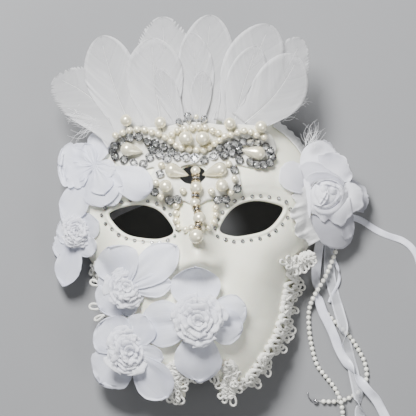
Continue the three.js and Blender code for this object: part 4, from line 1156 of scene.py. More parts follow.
# Root, tip, width, sideways bow, layer in the stack, share of fraying at the tip
FEATHERS = {
    "feather_left_outer": ((-52, 72), (-96, 114), 41, -6, 1, 0.3),
    "feather_left_broad": ((-43, 75), (-62.5, 141), 37, 2, 2, 0.01),
    "feather_left_round": ((-22, 76), (-27, 138), 40, 1, 3, 0.008),
    "feather_left_back": ((-17, 77), (-19, 153), 42, 0, 0, 0.3),
    "feather_centre_back": ((4, 77), (15, 153), 38, 0, 1, 0.015),
    "feather_centre_front": ((2, 77), (1, 141), 25, -2, 2, 0.01),
    "feather_right_tall": ((26, 76), (56, 145), 41, 1, 2, 0.02),
    "feather_right_middle": ((28, 75), (46, 130), 26, 1, 3, 0.01),
    "feather_right_back": ((36, 73), (78, 135), 33, -3, 0, 0.34),
    "feather_right_front": ((36, 77), (75, 122), 38, -4, 4, 0.012),
    "feather_small_left": ((-9, 79), (-24, 117), 15, 0, 4, 0.01),
    "feather_small_right": ((4, 79), (8, 114), 15, 0, 3, 0.01),
}
VANE_FULL = 0.58
VANE_NECK = 0.62
VANE_THICK = 0.12
BARBS = 130
BARB_COLUMNS = 11
BARB_SWEEP = 0.78
BARB_CURVE = 1.3
CAMBER = 1.3


def vane_half(along, width):
    """Half the width of a vane at a share of its length, as the feather's solid has it."""
    belly = np.sqrt(np.clip(np.sin(math.pi * along ** (math.log(0.5) / math.log(VANE_FULL))), 0, 1))
    return width / 2 * np.where(along < VANE_FULL, np.maximum(belly, VANE_NECK), belly)


def feather_height(x, y, u, v, layer):
    """The height of a place on a feather, u along its quill and v across its vane."""
    level = fan_height(x, y) + (layer + 1) * FEATHER_STEP - 0.4
    return level + CAMBER * (0.5 - v ** 2) * np.sin(math.pi * np.clip(u, 0, 1)) + (layer - 2) * u ** 2


def vane_side(side, root, tip, width, bow, layer, fray, chance):
    """One half of a vane: barbs swept along the quill as one sheet, their ends parted by the fray."""
    root, reach = np.array(root, float), np.subtract(tip, root)
    across = np.array([-reach[1], reach[0]]) / np.hypot(*reach) * side
    rows = 2 * BARBS
    end = np.linspace(0.012, 1, rows)
    start = end - BARB_SWEEP * (1 - end) ** 0.6 - 0.02
    length = 1 - 0.006 * np.array([chance.random() for _ in range(rows)])
    row = chance.randint(0, 5)
    while row < rows - 3:
        tuft = chance.randint(3, 8)
        torn = fray * chance.random() ** 1.6 * float(ease(end[row], 0.55, 0.9))
        step = np.arange(min(tuft, rows - row))
        length[row:row + tuft] -= torn * np.abs(2 * step / tuft - 0.8) ** 1.5
        row += tuft
    flutter = waver(rows, chance, 12)
    points, places = [], []
    for i in range(rows):
        first = 0.0 if start[i] >= 0 else (-start[i] / (end[i] - start[i])) ** (1 / BARB_CURVE)
        t = np.linspace(min(first, 0.98), 1, BARB_COLUMNS) * length[i]
        u = start[i] + (end[i] - start[i]) * t ** BARB_CURVE
        v = t * vane_half(end[i], width) / (width / 2)
        aside = v * width / 2 + side * bow * np.sin(math.pi * np.clip(u, 0, 1))
        x, y = (root[c] + u * reach[c] + aside * across[c] for c in (0, 1))
        lift = 0.55 * t ** 8 + 0.5 * flutter[i] * t ** 3 + (0.035 if i % 2 else -0.035) * t
        points.append(np.c_[x, y, feather_height(x, y, u, v, layer) + lift])
        places.append(np.c_[np.full(BARB_COLUMNS, i / rows), t])
    return patterned(points, places, VANE_THICK)


def quill_mesh(root, tip, width, bow, layer):
    """The quill of a feather, thick at its root and ending before the tip."""
    reach = np.subtract(tip, root)
    across = np.array([-reach[1], reach[0]]) / np.hypot(*reach)
    u = np.linspace(0, 0.9, 30)
    x, y = (root[c] + u * reach[c] + bow * np.sin(math.pi * u) * across[c] for c in (0, 1))
    line = np.c_[x, y, feather_height(x, y, u, 0 * u, layer)]
    return round_tube(line, np.interp(u, (0, 0.3, 0.9), (0.42, 0.19, 0.09)) * (0.6 + width / 95), 7)


def loose_barb(start, end, bend, height):
    """One barb that has come away from its neighbours, as a hair tapering to its end."""
    start, end = np.array(start, float), np.array(end, float)
    side = np.array([start[1] - end[1], end[0] - start[0]])
    t = np.linspace(0, 1, 12)
    flat = start + np.outer(t, end - start) + np.outer(bend * np.sin(math.pi * t), side)
    z = np.maximum(height(flat[:, 0], flat[:, 1]) - 1.5 * t, 0.6)
    return round_tube(np.c_[flat, z], np.interp(t, (0, 1), (0.13, 0.04)), 4)


chance = random.Random(5)
for name, (root, tip, width, bow, layer, fray) in FEATHERS.items():
    sides = [vane_side(side, root, tip, width, bow, layer, fray, chance) for side in (1, -1)]
    quill = quill_mesh(root, tip, width, bow, layer)
    piece = glued(name + "_vane", [side[:2] for side in sides] + [quill], [0, 0, 1],
                  [plume, quill_horn], "feather", [name])
    lay_pattern(piece, np.vstack([sides[0][2], sides[1][2], np.zeros((len(quill[0]), 2))]))

# Loose barbs and down have come away from the feathers. They stand out at the foot of the outer
# ones and in a tuft over the rose. Middle, spread, heading, length and number of each tuft:
TUFTS = [((-70, 80), 8, 192, 19, 22), ((-80, 88), 6, 207, 10, 12), ((71, 90), 6, 22, 13, 18),
         ((64, 83), 6, 4, 12, 12), ((81, 61), 5, 72, 15, 26)]
hairs = []
for middle, spread, aim, length, count in TUFTS:
    for _ in range(count):
        start = (middle[0] + chance.gauss(0, spread / 3), middle[1] + chance.gauss(0, spread / 3))
        turn = math.radians(aim + chance.gauss(0, 20))
        reach = length * chance.uniform(0.5, 1)
        end = (start[0] + reach * math.cos(turn), start[1] + reach * math.sin(turn))
        hairs.append(loose_barb(start, end, chance.uniform(-0.32, 0.32),
                                lambda x, y: fan_height(x, y) + 2 * FEATHER_STEP))
glued("loose_barbs", hairs, [0] * len(hairs), [fluff], "feather")

# Five cloth flowers are glued down one side of the face, from the temple to the chin. Their petals
# are cut from stiffened white voile with a heat-curled edge, pleated at the root, and lie one over
# the other.
voile = surface("stiff_voile", (0.87, 0.885, 0.985), 0.62, Sheen_Weight=0.3, Sheen_Roughness=0.45)
shade_between(voile, noise(voile, 55, 4), (0.83, 0.845, 0.96), (0.915, 0.93, 1.0))
voile_threads = noise(voile, 2200, 2)
voile_pleats = noise(voile, 1, 3, at=where(voile, (2.2, 26, 1), "UV"))
emboss(voile, [(voile_threads, 0.2), (voile_pleats, 1.0)], 0.3)
see_through(voile, let_light_through(voile, 0.2, (0.9, 0.92, 0.99)), 0.22)


def dress_height(x, y):
    """What flowers and lace lie on: the face, its steep side eased off and carried past the rim."""
    x, y = np.asarray(x, float), np.asarray(y, float)
    out = np.hypot(x, y - POLE_Y) / rim_radius(x, y)
    eased = np.minimum(1, 0.9 / np.maximum(out, 1e-6))
    in_x, in_y = x * eased, POLE_Y + (y - POLE_Y) * eased
    return np.maximum(face_height(in_x, in_y) - 0.55 * np.hypot(x - in_x, y - in_y), 5)


PETAL_ROWS, PETAL_COLUMNS = 34, 25
PETAL_THICK = 0.25
PLEAT_HEIGHT = 0.5


def petal(at, angle, length, width, lift, chance, full=0.62, round_by=0.55, neck=0.2, cup=0.0,
          pleats=3, wave=0.6, ragged=0.02, curl=0.7, crease=0.0, tip=0.0):
    """A petal laid on the dressing: points, faces and pattern places.

    full is where it is widest, cup lifts its sides, wave its edge; crease folds it along the
    middle and curl rolls its rim up. tip draws the end out to a point."""
    turn = math.radians(angle)
    ahead, side = np.array([math.cos(turn), math.sin(turn)]), np.array([-math.sin(turn), math.cos(turn)])
    u = np.sin(math.pi / 2 * np.linspace(0, 1, PETAL_ROWS) ** 1.1)
    v = np.sin(math.pi / 2 * np.linspace(-1, 1, PETAL_COLUMNS) * 0.96) / math.sin(math.pi / 2 * 0.96)
    belly = np.clip(np.sin(math.pi * u ** (math.log(0.5) / math.log(full))), 0, 1) ** round_by
    belly = np.where(u < full, np.maximum(belly, neck), belly) * (1 - tip * ease(u, full, 1) * (1 - belly))
    frayed = [1 + ragged * waver(PETAL_ROWS, chance, 1.6) + 2 * ragged * waver(PETAL_ROWS, chance, 6)
              for _ in range(2)]
    end = 1 + ragged * waver(PETAL_COLUMNS, chance, 2) * 1.5
    u, v = u[:, None], v[None, :]
    edge = np.where(v < 0, frayed[0][:, None], frayed[1][:, None])
    down = u * (1 + (end - 1) * u ** 3)
    beside = v * belly[:, None] * edge
    x = at[0] + down * length * ahead[0] + beside * width / 2 * side[0]
    y = at[1] + down * length * ahead[1] + beside * width / 2 * side[1]
    rim = np.maximum(np.abs(v) ** 6, u ** 12)
    shake = waver(PETAL_ROWS, chance, 4)[:, None] * v ** 2 + waver(PETAL_COLUMNS, chance, 4) * u ** 3
    pleated = np.cos(math.pi * pleats * v + chance.uniform(-1, 1)) * (1 - ease(down, 0.15, 0.95))
    fold = crease * (1 - np.abs(v)) ** 2 * ease(down, 0, 0.3)
    z = dress_height(x, y) + lift + cup * beside ** 2 + PLEAT_HEIGHT * pleated
    z += wave * shake + curl * rim * (0.6 + 0.4 * shake) - fold
    return patterned(np.stack([x, y, z], -1), np.stack([down, 0.5 + 0.5 * v + 0 * down], -1), PETAL_THICK)


def of_cloth(name, parts, kinds, materials, replaced=(), slot="cloth"):
    """Several (points, faces, pattern places) as one piece of patterned cloth."""
    piece = glued(name, [part[:2] for part in parts], kinds, materials, slot, replaced)
    lay_pattern(piece, np.vstack([part[2] for part in parts]))


FRILL_ROWS, FRILL_COLUMNS = 8, 15
FRILL_RAGGED = 0.05


def cupped_petal(at, angle, spread, foot, reach, high, lift, chance, lip, peak):
    """A petal standing around a heart, from its foot out to its reach, with a lip rolled out."""
    across = np.linspace(-1, 1, FRILL_COLUMNS)
    turn = math.radians(angle) + math.radians(spread) / 2 * across
    crown = 1 - peak * across ** 2 + FRILL_RAGGED * 3 * waver(FRILL_COLUMNS, chance, 2.2)
    roll = lip * (reach - foot) * (1 + 0.6 * waver(FRILL_COLUMNS, chance, 3))
    dent = 0.16 * (reach - foot) * waver(FRILL_COLUMNS, chance, 3)
    level = float(dress_height(*at)) + lift
    points, places = [], []
    for up in np.arange(FRILL_ROWS) / (FRILL_ROWS - 1):
        out = foot + (reach - foot) * math.sin(up * math.pi / 2) + roll * ease(up, 0.65, 1) + dent * up
        height = high * crown * (1 if up == 1 else math.sin(1.8 * up))
        points.append(np.c_[at[0] + out * np.cos(turn), at[1] + out * np.sin(turn), level + height])
        places.append(np.c_[np.full(FRILL_COLUMNS, up), 0.5 + across / 2])
    return patterned(points, places, 0.3)


# Share of the heart's radius at foot and edge, share of its height, spread of one petal, how many
HEART_RINGS = [(0.0, 0.16, 1.0, 200, 2), (0.1, 0.34, 0.98, 120, 4), (0.25, 0.52, 0.9, 88, 6),
               (0.42, 0.7, 0.76, 68, 8), (0.6, 0.86, 0.58, 56, 10), (0.76, 1.0, 0.36, 50, 11)]
HEART_DOME = [(0.8, 0), (0.72, 0.24), (0.5, 0.5), (0.24, 0.64), (0.03, 0.7)]


def crumpled_heart(at, radius, height, lift, chance):
    """The heart of a flower: small crumpled petals, standing lower and leaning out to the outside."""
    parts = []
    for foot, edge, tall, spread, count in HEART_RINGS:
        turn = chance.uniform(0, 360)
        for k in range(count):
            wide = chance.uniform(0.85, 1.15)
            parts.append(cupped_petal(
                at, turn + 360 * (k + chance.uniform(-0.25, 0.25)) / count, spread * wide,
                radius * foot, radius * edge * chance.uniform(0.88, 1.1),
                height * tall * chance.uniform(0.85, 1.12), lift, chance, chance.uniform(0.25, 0.7),
                chance.uniform(0.05, 0.4)))
    dome, dome_faces = lathe_mesh(HEART_DOME, 24)
    dome = dome * (radius, radius, height) + (*at, float(dress_height(*at)) + lift)
    parts.append((dome, dome_faces, np.zeros((len(dome), 2))))
    return parts


heart_voile = surface("heart_voile", (0.945, 0.95, 0.995), 0.6, Sheen_Weight=0.25, Sheen_Roughness=0.4)
shade_between(heart_voile, noise(heart_voile, 80, 3), (0.91, 0.915, 0.975), (0.975, 0.98, 1.0))
emboss(heart_voile, [(noise(heart_voile, 1900, 2), 0.4), (noise(heart_voile, 420, 3), 1.0)], 0.16)
let_light_through(heart_voile, 0.52, (0.98, 0.98, 1.0))

# Middle, lift over the face, and each petal's angle, length, width, extra lift and other habits
FLOWERS = {
    "flower_cheek": ((-49.9, -35.2), 2.2, [
        (165, 21, 24, 0.2, {}), (268, 20, 15, 0.2, {}), (215, 25, 26, 0.5, {}),
        (4, 32, 17, 0.9, {"tip": 0.5, "crease": 0.6}), (112, 31, 33, 1.3, {"cup": 1.2, "pleats": 2}),
        (38, 45, 26, 1.9, {"full": 0.6, "crease": 1.4, "tip": 0.35, "round_by": 0.5}),
    ]),
    "flower_mouth": ((-1.2, -59.2), 4.6, [
        (268, 43, 33, 0.3, {"crease": 0.8, "full": 0.66}), (184, 40, 33, 0.8, {"crease": 0.5, "cup": 0.8}),
        (92, 37, 35, 1.1, {"crease": 0.7, "full": 0.66, "pleats": 2}),
        (14, 34, 24, 1.2, {"full": 0.7, "round_by": 0.45}), (345, 31, 25, 2.3, {"full": 0.68, "cup": 0.9}),
    ]),
    "flower_chin": ((-49.9, -79.2), 7, [
        (345, 24, 15, 0.1, {}), (62, 27, 24, 0.3, {}), (225, 31, 32, 0.6, {"ragged": 0.035}),
        (307, 42, 27, 1.2, {"crease": 0.8, "full": 0.66}), (137, 28, 31, 1.6, {"cup": 1.0, "crease": 0.6}),
    ]),
    "flower_cheek_outer": ((-84.5, 5.3), 1, [
        (80, 15, 18, 0.2, {}), (20, 17, 18, 0.3, {}), (300, 20, 16, 0.4, {}),
        (232, 22, 20, 0.7, {"ragged": 0.07}), (184, 14, 17, 0.9, {"ragged": 0.05}),
        (254, 39, 19, 1.5, {"full": 0.66, "crease": 0.8, "tip": 0.4, "ragged": 0.03}),
    ]),
    "flower_temple": ((-70, 51), 3.4, [
        (146, 22, 18, 0.2, {"ragged": 0.05}), (297, 31, 22, 0.4, {"full": 0.68}),
        (334, 43, 24, 0.7, {"full": 0.74, "cup": 0.9, "neck": 0.34, "round_by": 0.5, "pleats": 2}),
        (239, 46, 20, 0.9, {"full": 0.66, "tip": 0.45, "ragged": 0.035, "crease": 1.3}),
        (76, 26, 17, 1.1, {"tip": 0.35, "crease": 0.8}), (112, 17, 11, 1.5, {"tip": 0.4}),
        (178, 25, 31, 1.5, {"full": 0.7, "ragged": 0.06, "wave": 1.5, "round_by": 0.4, "curl": 1.1}),
        (203, 22, 19, 1.9, {"full": 0.7, "ragged": 0.05, "wave": 1.0}),
        (281, 29, 25, 2.0, {"full": 0.7, "crease": 0.6}), (288, 21, 17, 2.4, {"full": 0.7, "tip": 0.3}),
        (345, 15, 13, 1.8, {}), (322, 24, 11, 1.5, {"crease": 1.2, "tip": 0.3}),
    ]),
}
# Radius, height, and lift over the face
HEARTS = {
    "flower_cheek": (13, 8, 3.8), "flower_mouth": (17, 9.5, 6.6), "flower_chin": (15, 9.5, 8.6),
    "flower_cheek_outer": (9.6, 7, 2.6),
}
chance = random.Random(23)
for name, (at, lift, petals) in FLOWERS.items():
    parts = [petal(at, angle, length, width, lift + extra + 0.5, chance, **habits)
             for angle, length, width, extra, habits in petals]
    of_cloth(name + "_petals", parts, [0] * len(parts), [voile], [name])
    if name in HEARTS:
        frills = crumpled_heart(at, *HEARTS[name], chance)
        of_cloth(name + "_frills", frills, [0] * len(frills), [heart_voile], [name + "_heart"])

# A rose of softer cloth covers the right temple: flat outer petals, cupped ones over them and a
# wound heart, all glued on each other. The cut edges of its outer petals have frayed.
rose_cloth = surface("rose_voile", (0.93, 0.93, 0.985), 0.58, Sheen_Weight=0.3, Sheen_Roughness=0.4)
shade_between(rose_cloth, noise(rose_cloth, 45, 4), (0.89, 0.89, 0.955), (0.965, 0.965, 1.0))
rose_threads = noise(rose_cloth, 2000, 2)
rose_folds = noise(rose_cloth, 1, 2, at=where(rose_cloth, (1.6, 9, 1), "UV"))
emboss(rose_cloth, [(rose_threads, 0.2), (rose_folds, 0.7)], 0.25)
see_through(rose_cloth, let_light_through(rose_cloth, 0.3, (0.96, 0.96, 1.0)), 0.06)
# A sheerer copy of the rose voile for four of the outer petals, coloured much greyer. The grey is painted
# shade; the light let through and the see-through share are real sheerness.
sheer_voile_painted_shade = surface("thin_rose_voile_painted_shade", (0.56, 0.56, 0.61), 0.6, Sheen_Weight=0.2, Sheen_Roughness=0.4)
shade_between(sheer_voile_painted_shade, noise(sheer_voile_painted_shade, 45, 4), (0.48, 0.48, 0.525), (0.64, 0.64, 0.69))
emboss(sheer_voile_painted_shade, [(noise(sheer_voile_painted_shade, 2000, 2), 0.3)], 0.3)
see_through(sheer_voile_painted_shade, let_light_through(sheer_voile_painted_shade, 0.25, (0.8, 0.8, 0.86)), 0.2)

ROSE = (94, 30)
ROSE_STEEP = 6


def over_rose(x, y, over):
    """Height of a place on the rose: low petals follow the face, high ones stand on its middle."""
    middle = float(dress_height(*ROSE))
    return middle + over + (dress_height(x, y) - middle) / (1 + (over / ROSE_STEEP) ** 2)


def over_face(x, y, over):
    """Height of a place that lies right over the face."""
    return dress_height(x, y) + over


def draped(foot, edge, chance, bulge=1.0, ragged=0.015, ripple=0.4, curl=0.5, rows=15, columns=34,
           height=over_rose, folds=0):
    """Cloth drawn from the line where it is held to its free edge: points, faces and places.

    bulge lifts its middle, ripple its free edge, curl rolls the edge up and folds gathers it."""
    ends = []
    for line in (foot, edge):
        line = smooth_route(line)
        ends.append(at_run(line, np.linspace(0, run_of(line)[-1], columns)))
    reach = 1 + ragged * waver(columns, chance, 1.3) + ragged * waver(columns, chance, 4)
    sway = waver(columns, chance, 5)
    across = np.linspace(-1, 1, columns)
    pleat = np.sin(np.pi * folds * across + 1.1 * waver(columns, chance, 9)) * (0.7 + 0.5 * sway)
    points, places = [], []
    for t in (np.arange(rows) / (rows - 1)) ** 0.9:
        grid = ends[0] + (ends[1] - ends[0]) * (t * (1 + (reach - 1) * t ** 2))[:, None]
        lift = bulge * math.sin(math.pi * t ** 0.8) * (1 - 0.4 * across ** 2) + ripple * sway * t ** 2
        lift = lift + curl * t ** 9 * (1 + 0.6 * sway) + (folds > 0) * pleat * t ** 0.7
        points.append(np.c_[grid[:, :2], height(grid[:, 0], grid[:, 1], grid[:, 2] + lift)])
        places.append(np.c_[np.full(columns, t), 0.5 + across / 2])
    return patterned(points, places, 0.28)


# Each petal: the line it is held at, its free edge (height over the face last), and its habits
SPREAD_PETALS = [
    ([(75.9, 34.8, 2.4), (76.3, 27.8, 2.4)],
     [(74.3, 47.5, 3), (66.5, 49.8, 2.4), (58.6, 41.2, 1.6), (59.3, 34, 1.6), (65.2, 29.1, 2.2),
      (73.9, 26.5, 2.6)],
     {"ragged": 0.02, "bulge": 2.0, "curl": 1.4, "ripple": 1.0, "height": over_face}),
    ([(88.2, 51.9, 2.5), (99.6, 45.7, 2.5)],
     [(85.3, 63.4, 3), (90.9, 64.4, 3), (95.7, 61.7, 3), (99.5, 56.2, 3), (103.1, 51.4, 3)],
     {"bulge": 0.6, "ragged": 0.05}),
    ([(106.3, 33.8, 2), (107.9, 13.9, 2)],
     [(109.4, 36.3, 2.4), (116.9, 32, 2.6), (121.7, 24.5, 2.6), (121.7, 17.9, 2.4), (118.1, 11.5, 2.2)],
     {"bulge": 0.6, "ragged": 0.06}),
    ([(82.2, 11.8, 4.5), (92.7, 10.9, 5), (104.4, 11.7, 4.5)],
     [(78.8, 9.5, 2.6), (80.7, 2, 2.4), (85.7, -6.4, 2.2), (93.3, -12, 2), (101.2, -13.7, 2),
      (108.3, -9.2, 2.2), (110.4, -2.5, 2.6), (109.7, 4.5, 3)], {"bulge": 2.2, "ragged": 0.02}),
    ([(97.4, 13.1, 6.5), (106.8, 15.1, 5.5)],
     [(100.9, -1, 4.6), (104.3, -7, 3.6), (109, -6, 3.4), (111, 1, 4), (110.8, 9.1, 5)],
     {"bulge": 1.4, "ragged": 0.04}),
    ([(76.7, 39.4, 7), (85.5, 42.7, 8), (93.8, 44.7, 7)],
     [(73.8, 47, 5), (75.5, 55.2, 4.5), (81.5, 61.5, 4.2), (88, 63.1, 4.2), (94.3, 61, 4.4),
      (99.7, 55.3, 5)], {"bulge": 2.4, "ragged": 0.01}),
    ([(101.5, 30.5, 9), (104.7, 23.3, 9), (101, 15.3, 9)],
     [(108.4, 34.4, 8.5), (115, 30.2, 7.5), (118.4, 23.6, 7), (117.5, 16.8, 6.6), (111.6, 12.4, 7),
      (104.3, 10.7, 8)], {"bulge": 1.8, "ragged": 0.045}),
]
CUPPED_PETALS = [
    ([(87.8, 39.1, 6), (97, 37.6, 6.5), (105.1, 33.3, 6)],
     [(86.8, 52.4, 11), (93.9, 54.8, 13.4), (101.3, 54, 14), (106, 49.4, 13.6), (108.7, 42.8, 12.4),
      (110.6, 38.3, 10.5), (108.8, 33.9, 9)], {"bulge": -1.6, "ragged": 0.05, "ripple": 0.8}),
    ([(80.8, 33.5, 12), (81.6, 21.8, 12), (80.1, 11.3, 10)],
     [(73.3, 39.6, 10), (73.4, 29.1, 9.6), (75.4, 18.5, 8.4), (79.2, 6.9, 6.5)], {"bulge": 1.4}),
    ([(81.2, 18.3, 12), (90.6, 18, 13), (99.9, 18.8, 13), (108.2, 23.2, 11)],
     [(80.1, 12.7, 8.4), (85.1, 10.6, 8), (89.2, 5.9, 7.4), (93.1, 7.9, 7.8), (97.1, 4.2, 7.2),
      (102, 2.9, 7.2), (106.8, 8.1, 8), (110, 11.5, 8)], {"bulge": 1.8, "ragged": 0.035}),
    ([(76.6, 35.9, 8), (86.5, 36.2, 8.6), (95.7, 33.6, 8.6), (102.6, 29.2, 8.6)],
     [(70.7, 41.5, 11), (75.2, 47.4, 13.6), (82.3, 49.3, 15.6), (89.2, 46.5, 16.4),
      (95.1, 42.1, 16.2), (101.5, 37.9, 14.8), (104.9, 34.1, 12.6)],
     {"bulge": 0.2, "ragged": 0.04, "ripple": 0.7}),
    ([(79.7, 31.1, 9.4), (85, 35, 10.4), (91.1, 36.5, 10.6), (98, 34.5, 10.4), (103.5, 29.5, 10)],
     [(77.3, 36.9, 14), (80.6, 39.8, 15.6), (85.4, 41.2, 17), (93, 40.6, 17.8), (99.3, 37.6, 17),
      (105.1, 32, 14.4)], {"bulge": 0, "ragged": 0.04, "ripple": 0.6}),
]
WOUND_PETALS = [
    ([(79.2, 28.9, 9), (80.2, 19.5, 9), (85.7, 12, 9.5), (92.7, 9.9, 9.5), (100.9, 12.6, 9.5),
      (106.6, 20, 9), (107.6, 27.9, 9)],
     [(81, 29, 13.4), (81.4, 21, 13.4), (85, 15, 13.6), (90, 14.2, 14), (94.6, 14.8, 14.4),
      (98.8, 17.4, 14.6), (102.6, 22, 14.6), (104.2, 27.5, 14.2)], {"bulge": 1.6, "ragged": 0.02}),
    ([(83, 20, 12.6), (88, 15.6, 12.8), (94, 15.6, 12.8), (99.6, 19.4, 12.8), (103, 25.4, 12.6),
      (102.5, 31, 12.6)],
     [(84.5, 21, 15.4), (88.2, 17.6, 15.6), (92.8, 18, 16), (96.7, 20.2, 16.4), (98.9, 24, 16.8),
      (99.4, 28.5, 17)], {"bulge": 1.4, "ragged": 0.02}),
    ([(80.6, 28, 12), (83.2, 33.6, 12.4), (90, 35.6, 12.6), (97.4, 34.4, 12.6), (103.2, 29.2, 12)],
     [(81.4, 31.4, 15.6), (84.4, 34.6, 17), (89.4, 36, 17.8), (95.4, 35.4, 17.8), (100.5, 32.8, 17),
      (103, 29, 15.6)], {"bulge": 0.4, "ragged": 0.03, "ripple": 0.6}),
    ([(101.8, 19.6, 13), (105, 24.6, 13), (104, 29.6, 13.4), (100, 33.4, 14)],
     [(98.4, 21.2, 16.4), (101.2, 25.2, 17), (100.4, 29, 17.6), (97.2, 31.6, 18)], {"bulge": 1.2}),
    ([(83.6, 33.2, 15.4), (80.8, 27.6, 14.5), (81.2, 21.5, 13.6), (82.6, 18.6, 13.4)],
     [(93.2, 28.5, 18.2), (92.8, 23.5, 18), (90.6, 19.4, 17.4), (86.8, 17.2, 16.2)], {"bulge": 0.9}),
    ([(84.2, 32.3, 16.8), (83.4, 26, 16), (85.2, 21, 15.2)],
     [(92.2, 27, 18.8), (89.4, 22.6, 18.4), (86.9, 19, 17.2)], {"bulge": 1.2, "curl": 0.8}),
    ([(88.2, 34, 16.6), (93, 34.6, 17), (98, 33, 16.6)],
     [(87.2, 31.6, 18.8), (92.6, 32.4, 19.4), (98.4, 30.4, 18.6)], {"bulge": 0.8, "ripple": 0.6}),
    ([(87, 32, 17), (86.6, 28.2, 17), (88, 25.4, 16.8)],
     [(92.4, 32, 17.6), (92.7, 28.8, 17.4), (91.8, 25.8, 17)], {"bulge": 2.2, "curl": 0}),
    ([(94, 31.8, 17.6), (93.8, 28.8, 17.4), (94.2, 25.8, 16.6)],
     [(99, 31, 17), (99.6, 28.2, 16.8), (98.2, 25.4, 16.2)], {"bulge": 1.9, "curl": 0}),
]
# The outer petals cut from the sheer voile whose grey is painted shade
SHADED_THIN_PETALS = (1, 2, 3, 4)
BUD_AT = (93, 26.6)
BUD = [(11, 6), (10.2, 10.5), (8, 13.6), (4.4, 15.6), (0.5, 16.2)]
chance = random.Random(31)
for name, petals, replaced in (("rose_spread_petals", SPREAD_PETALS, "rose_outer_petals"),
                               ("rose_cupped_petals", CUPPED_PETALS, "rose_inner_petals"),
                               ("rose_wound_heart", WOUND_PETALS, "rose_heart")):
    parts = [draped(foot, edge, chance, **habits) for foot, edge, habits in petals]
    kinds = [0] * len(parts)
    if name == "rose_spread_petals":
        kinds = [1 if k in SHADED_THIN_PETALS else 0 for k in range(len(parts))]
    elif name == "rose_wound_heart":
        bud, bud_faces = lathe_mesh(BUD, 30)
        parts.append((bud + (*BUD_AT, over_rose(*BUD_AT, 0)), bud_faces, np.zeros((len(bud), 2))))
        kinds.append(0)
    of_cloth(name, parts, kinds, [rose_cloth, sheer_voile_painted_shade], [replaced])

# Thick cotton lace is glued along the lower rim on both sides: a plaited band with loops standing
# out of its outer edge. Its two ends are folded over beside the notch under the chin.
cotton = surface("lace_cotton", (0.9, 0.89, 0.82), 0.8, Sheen_Weight=0.35, Sheen_Roughness=0.5)
shade_between(cotton, noise(cotton, 240, 4), (0.80, 0.79, 0.71), (0.95, 0.94, 0.88), 0.3, 0.6)
emboss(cotton, [(noise(cotton, 1500, 3), 1.0), (noise(cotton, 3600, 2), 0.5)], 0.5)
LACE_STRAND = 1.6
LACE_PLAIT = 15
LACE_SWING = 3.1
LACE_INSET = -2.6
LOOP_THREAD = 0.78


def lace_height(x, y):
    """The side of the shell, carried on level past its rim."""
    out = from_pole(x, y) - rim_radius(x, y)
    return np.maximum(face_height(x, y) + 1.0, rim_height(x, y) + 3.2 - 0.25 * np.maximum(out, 0))


def rim_places(first, last, spacing=0.5):
    """Places along the outline between two directions: distance gone, place, and the way out."""
    turn = np.radians(np.linspace(first, last, 600))
    reach = rim_radius(np.cos(turn), POLE_Y + np.sin(turn))
    line = np.c_[reach * np.cos(turn), POLE_Y + reach * np.sin(turn), 0 * turn]
    length = run_of(line)[-1]
    at = np.linspace(0, length, int(length / spacing))
    place = at_run(line, at)[:, :2]
    along = along_of(place)
    out = np.c_[along[:, 1], -along[:, 0]]
    out *= np.sign(np.sum(out * (place - (0, POLE_Y)), axis=1))[:, None]
    return at, place, out


def laid(flat, lift, ground=lace_height):
    """Flat places set on the ground under the lace and lifted straight off its slope."""
    x, y = flat[:, 0], flat[:, 1]
    slope_x = (ground(x + 1, y) - ground(x - 1, y)) / 2
    slope_y = (ground(x, y + 1) - ground(x, y - 1)) / 2
    off = np.c_[-slope_x, -slope_y, np.ones(len(x))]
    off /= np.linalg.norm(off, axis=1)[:, None]
    return np.c_[x, y, ground(x, y)] + off * np.broadcast_to(lift, len(x))[:, None]


def loop_of_thread(root, out, reach, wide, lean, lift, radius=LOOP_THREAD, ground=lace_height):
    """A closed loop standing out of the lace: narrow at its root, round at its end."""
    out = np.array(out)
    along = np.array([-out[1], out[0]])
    turn = np.linspace(0, 2 * math.pi, 26, endpoint=False)
    ahead = (1 - np.cos(turn)) / 2
    beside = wide / 2 * np.sin(turn) * (0.25 + 0.75 * ahead)
    flat = root + np.outer(ahead * reach, out + lean * along) + np.outer(beside, along)
    return round_tube(laid(flat, lift + 0.5 * np.sin(turn), ground), radius, 7, closed=True)


def plaited(place, out, shift, swing, thick, pitch, chance, ground=lace_height):
    """Three soft strands plaited along a line, each of them fat where it bends back."""
    count, gone = len(place), run_of(place)
    parts = []
    for k in range(3):
        phase = 2 * math.pi * (gone / pitch + k / 3) + 0.9 * waver(count, chance, 14)
        beside = shift + swing * (1 + 0.15 * waver(count, chance, 20)) * np.sin(phase)
        fat = thick * (0.58 + 0.5 * np.abs(np.sin(phase)) ** 1.5 + 0.16 * waver(count, chance, 5))
        lift = thick * (0.9 + 0.7 * np.cos(2 * phase))
        parts.append(round_tube(laid(place + out * beside[:, None], lift, ground), fat, 10))
    return parts


def lace_band(first, last, chance):
    """The plaited band along the rim between two directions, with a loop or two at each step."""
    at, place, out = rim_places(first, last)
    width = np.interp(at, [0, at[-1]], [1.15, 0.8])
    parts = plaited(place, out, LACE_INSET * width, LACE_SWING * width, LACE_STRAND, LACE_PLAIT, chance)
    along = 1.5
    while along < at[-1] - 1.5:
        i = int(np.searchsorted(at, along))
        reach = chance.choice((4.6, 5.8, 7, 8.8))
        lean = chance.uniform(-0.7, 0.7)
        root = place[i] + out[i] * (LACE_INSET + 2) * width[i]
        parts.append(loop_of_thread(root, out[i], reach, 0.5 * reach + 1.2, lean, 1.2))
        if chance.random() < 0.5:
            parts.append(loop_of_thread(root, out[i], reach * 0.6, 0.34 * reach + 1, -lean, 2.2))
        knot = place[i] + out[i] * (LACE_INSET + chance.uniform(-4, 1)) * width[i]
        parts.append(loop_of_thread(knot, out[i], 3, 2.8, 3 * lean, 2.9))
        along += chance.uniform(3.6, 6)
    return parts


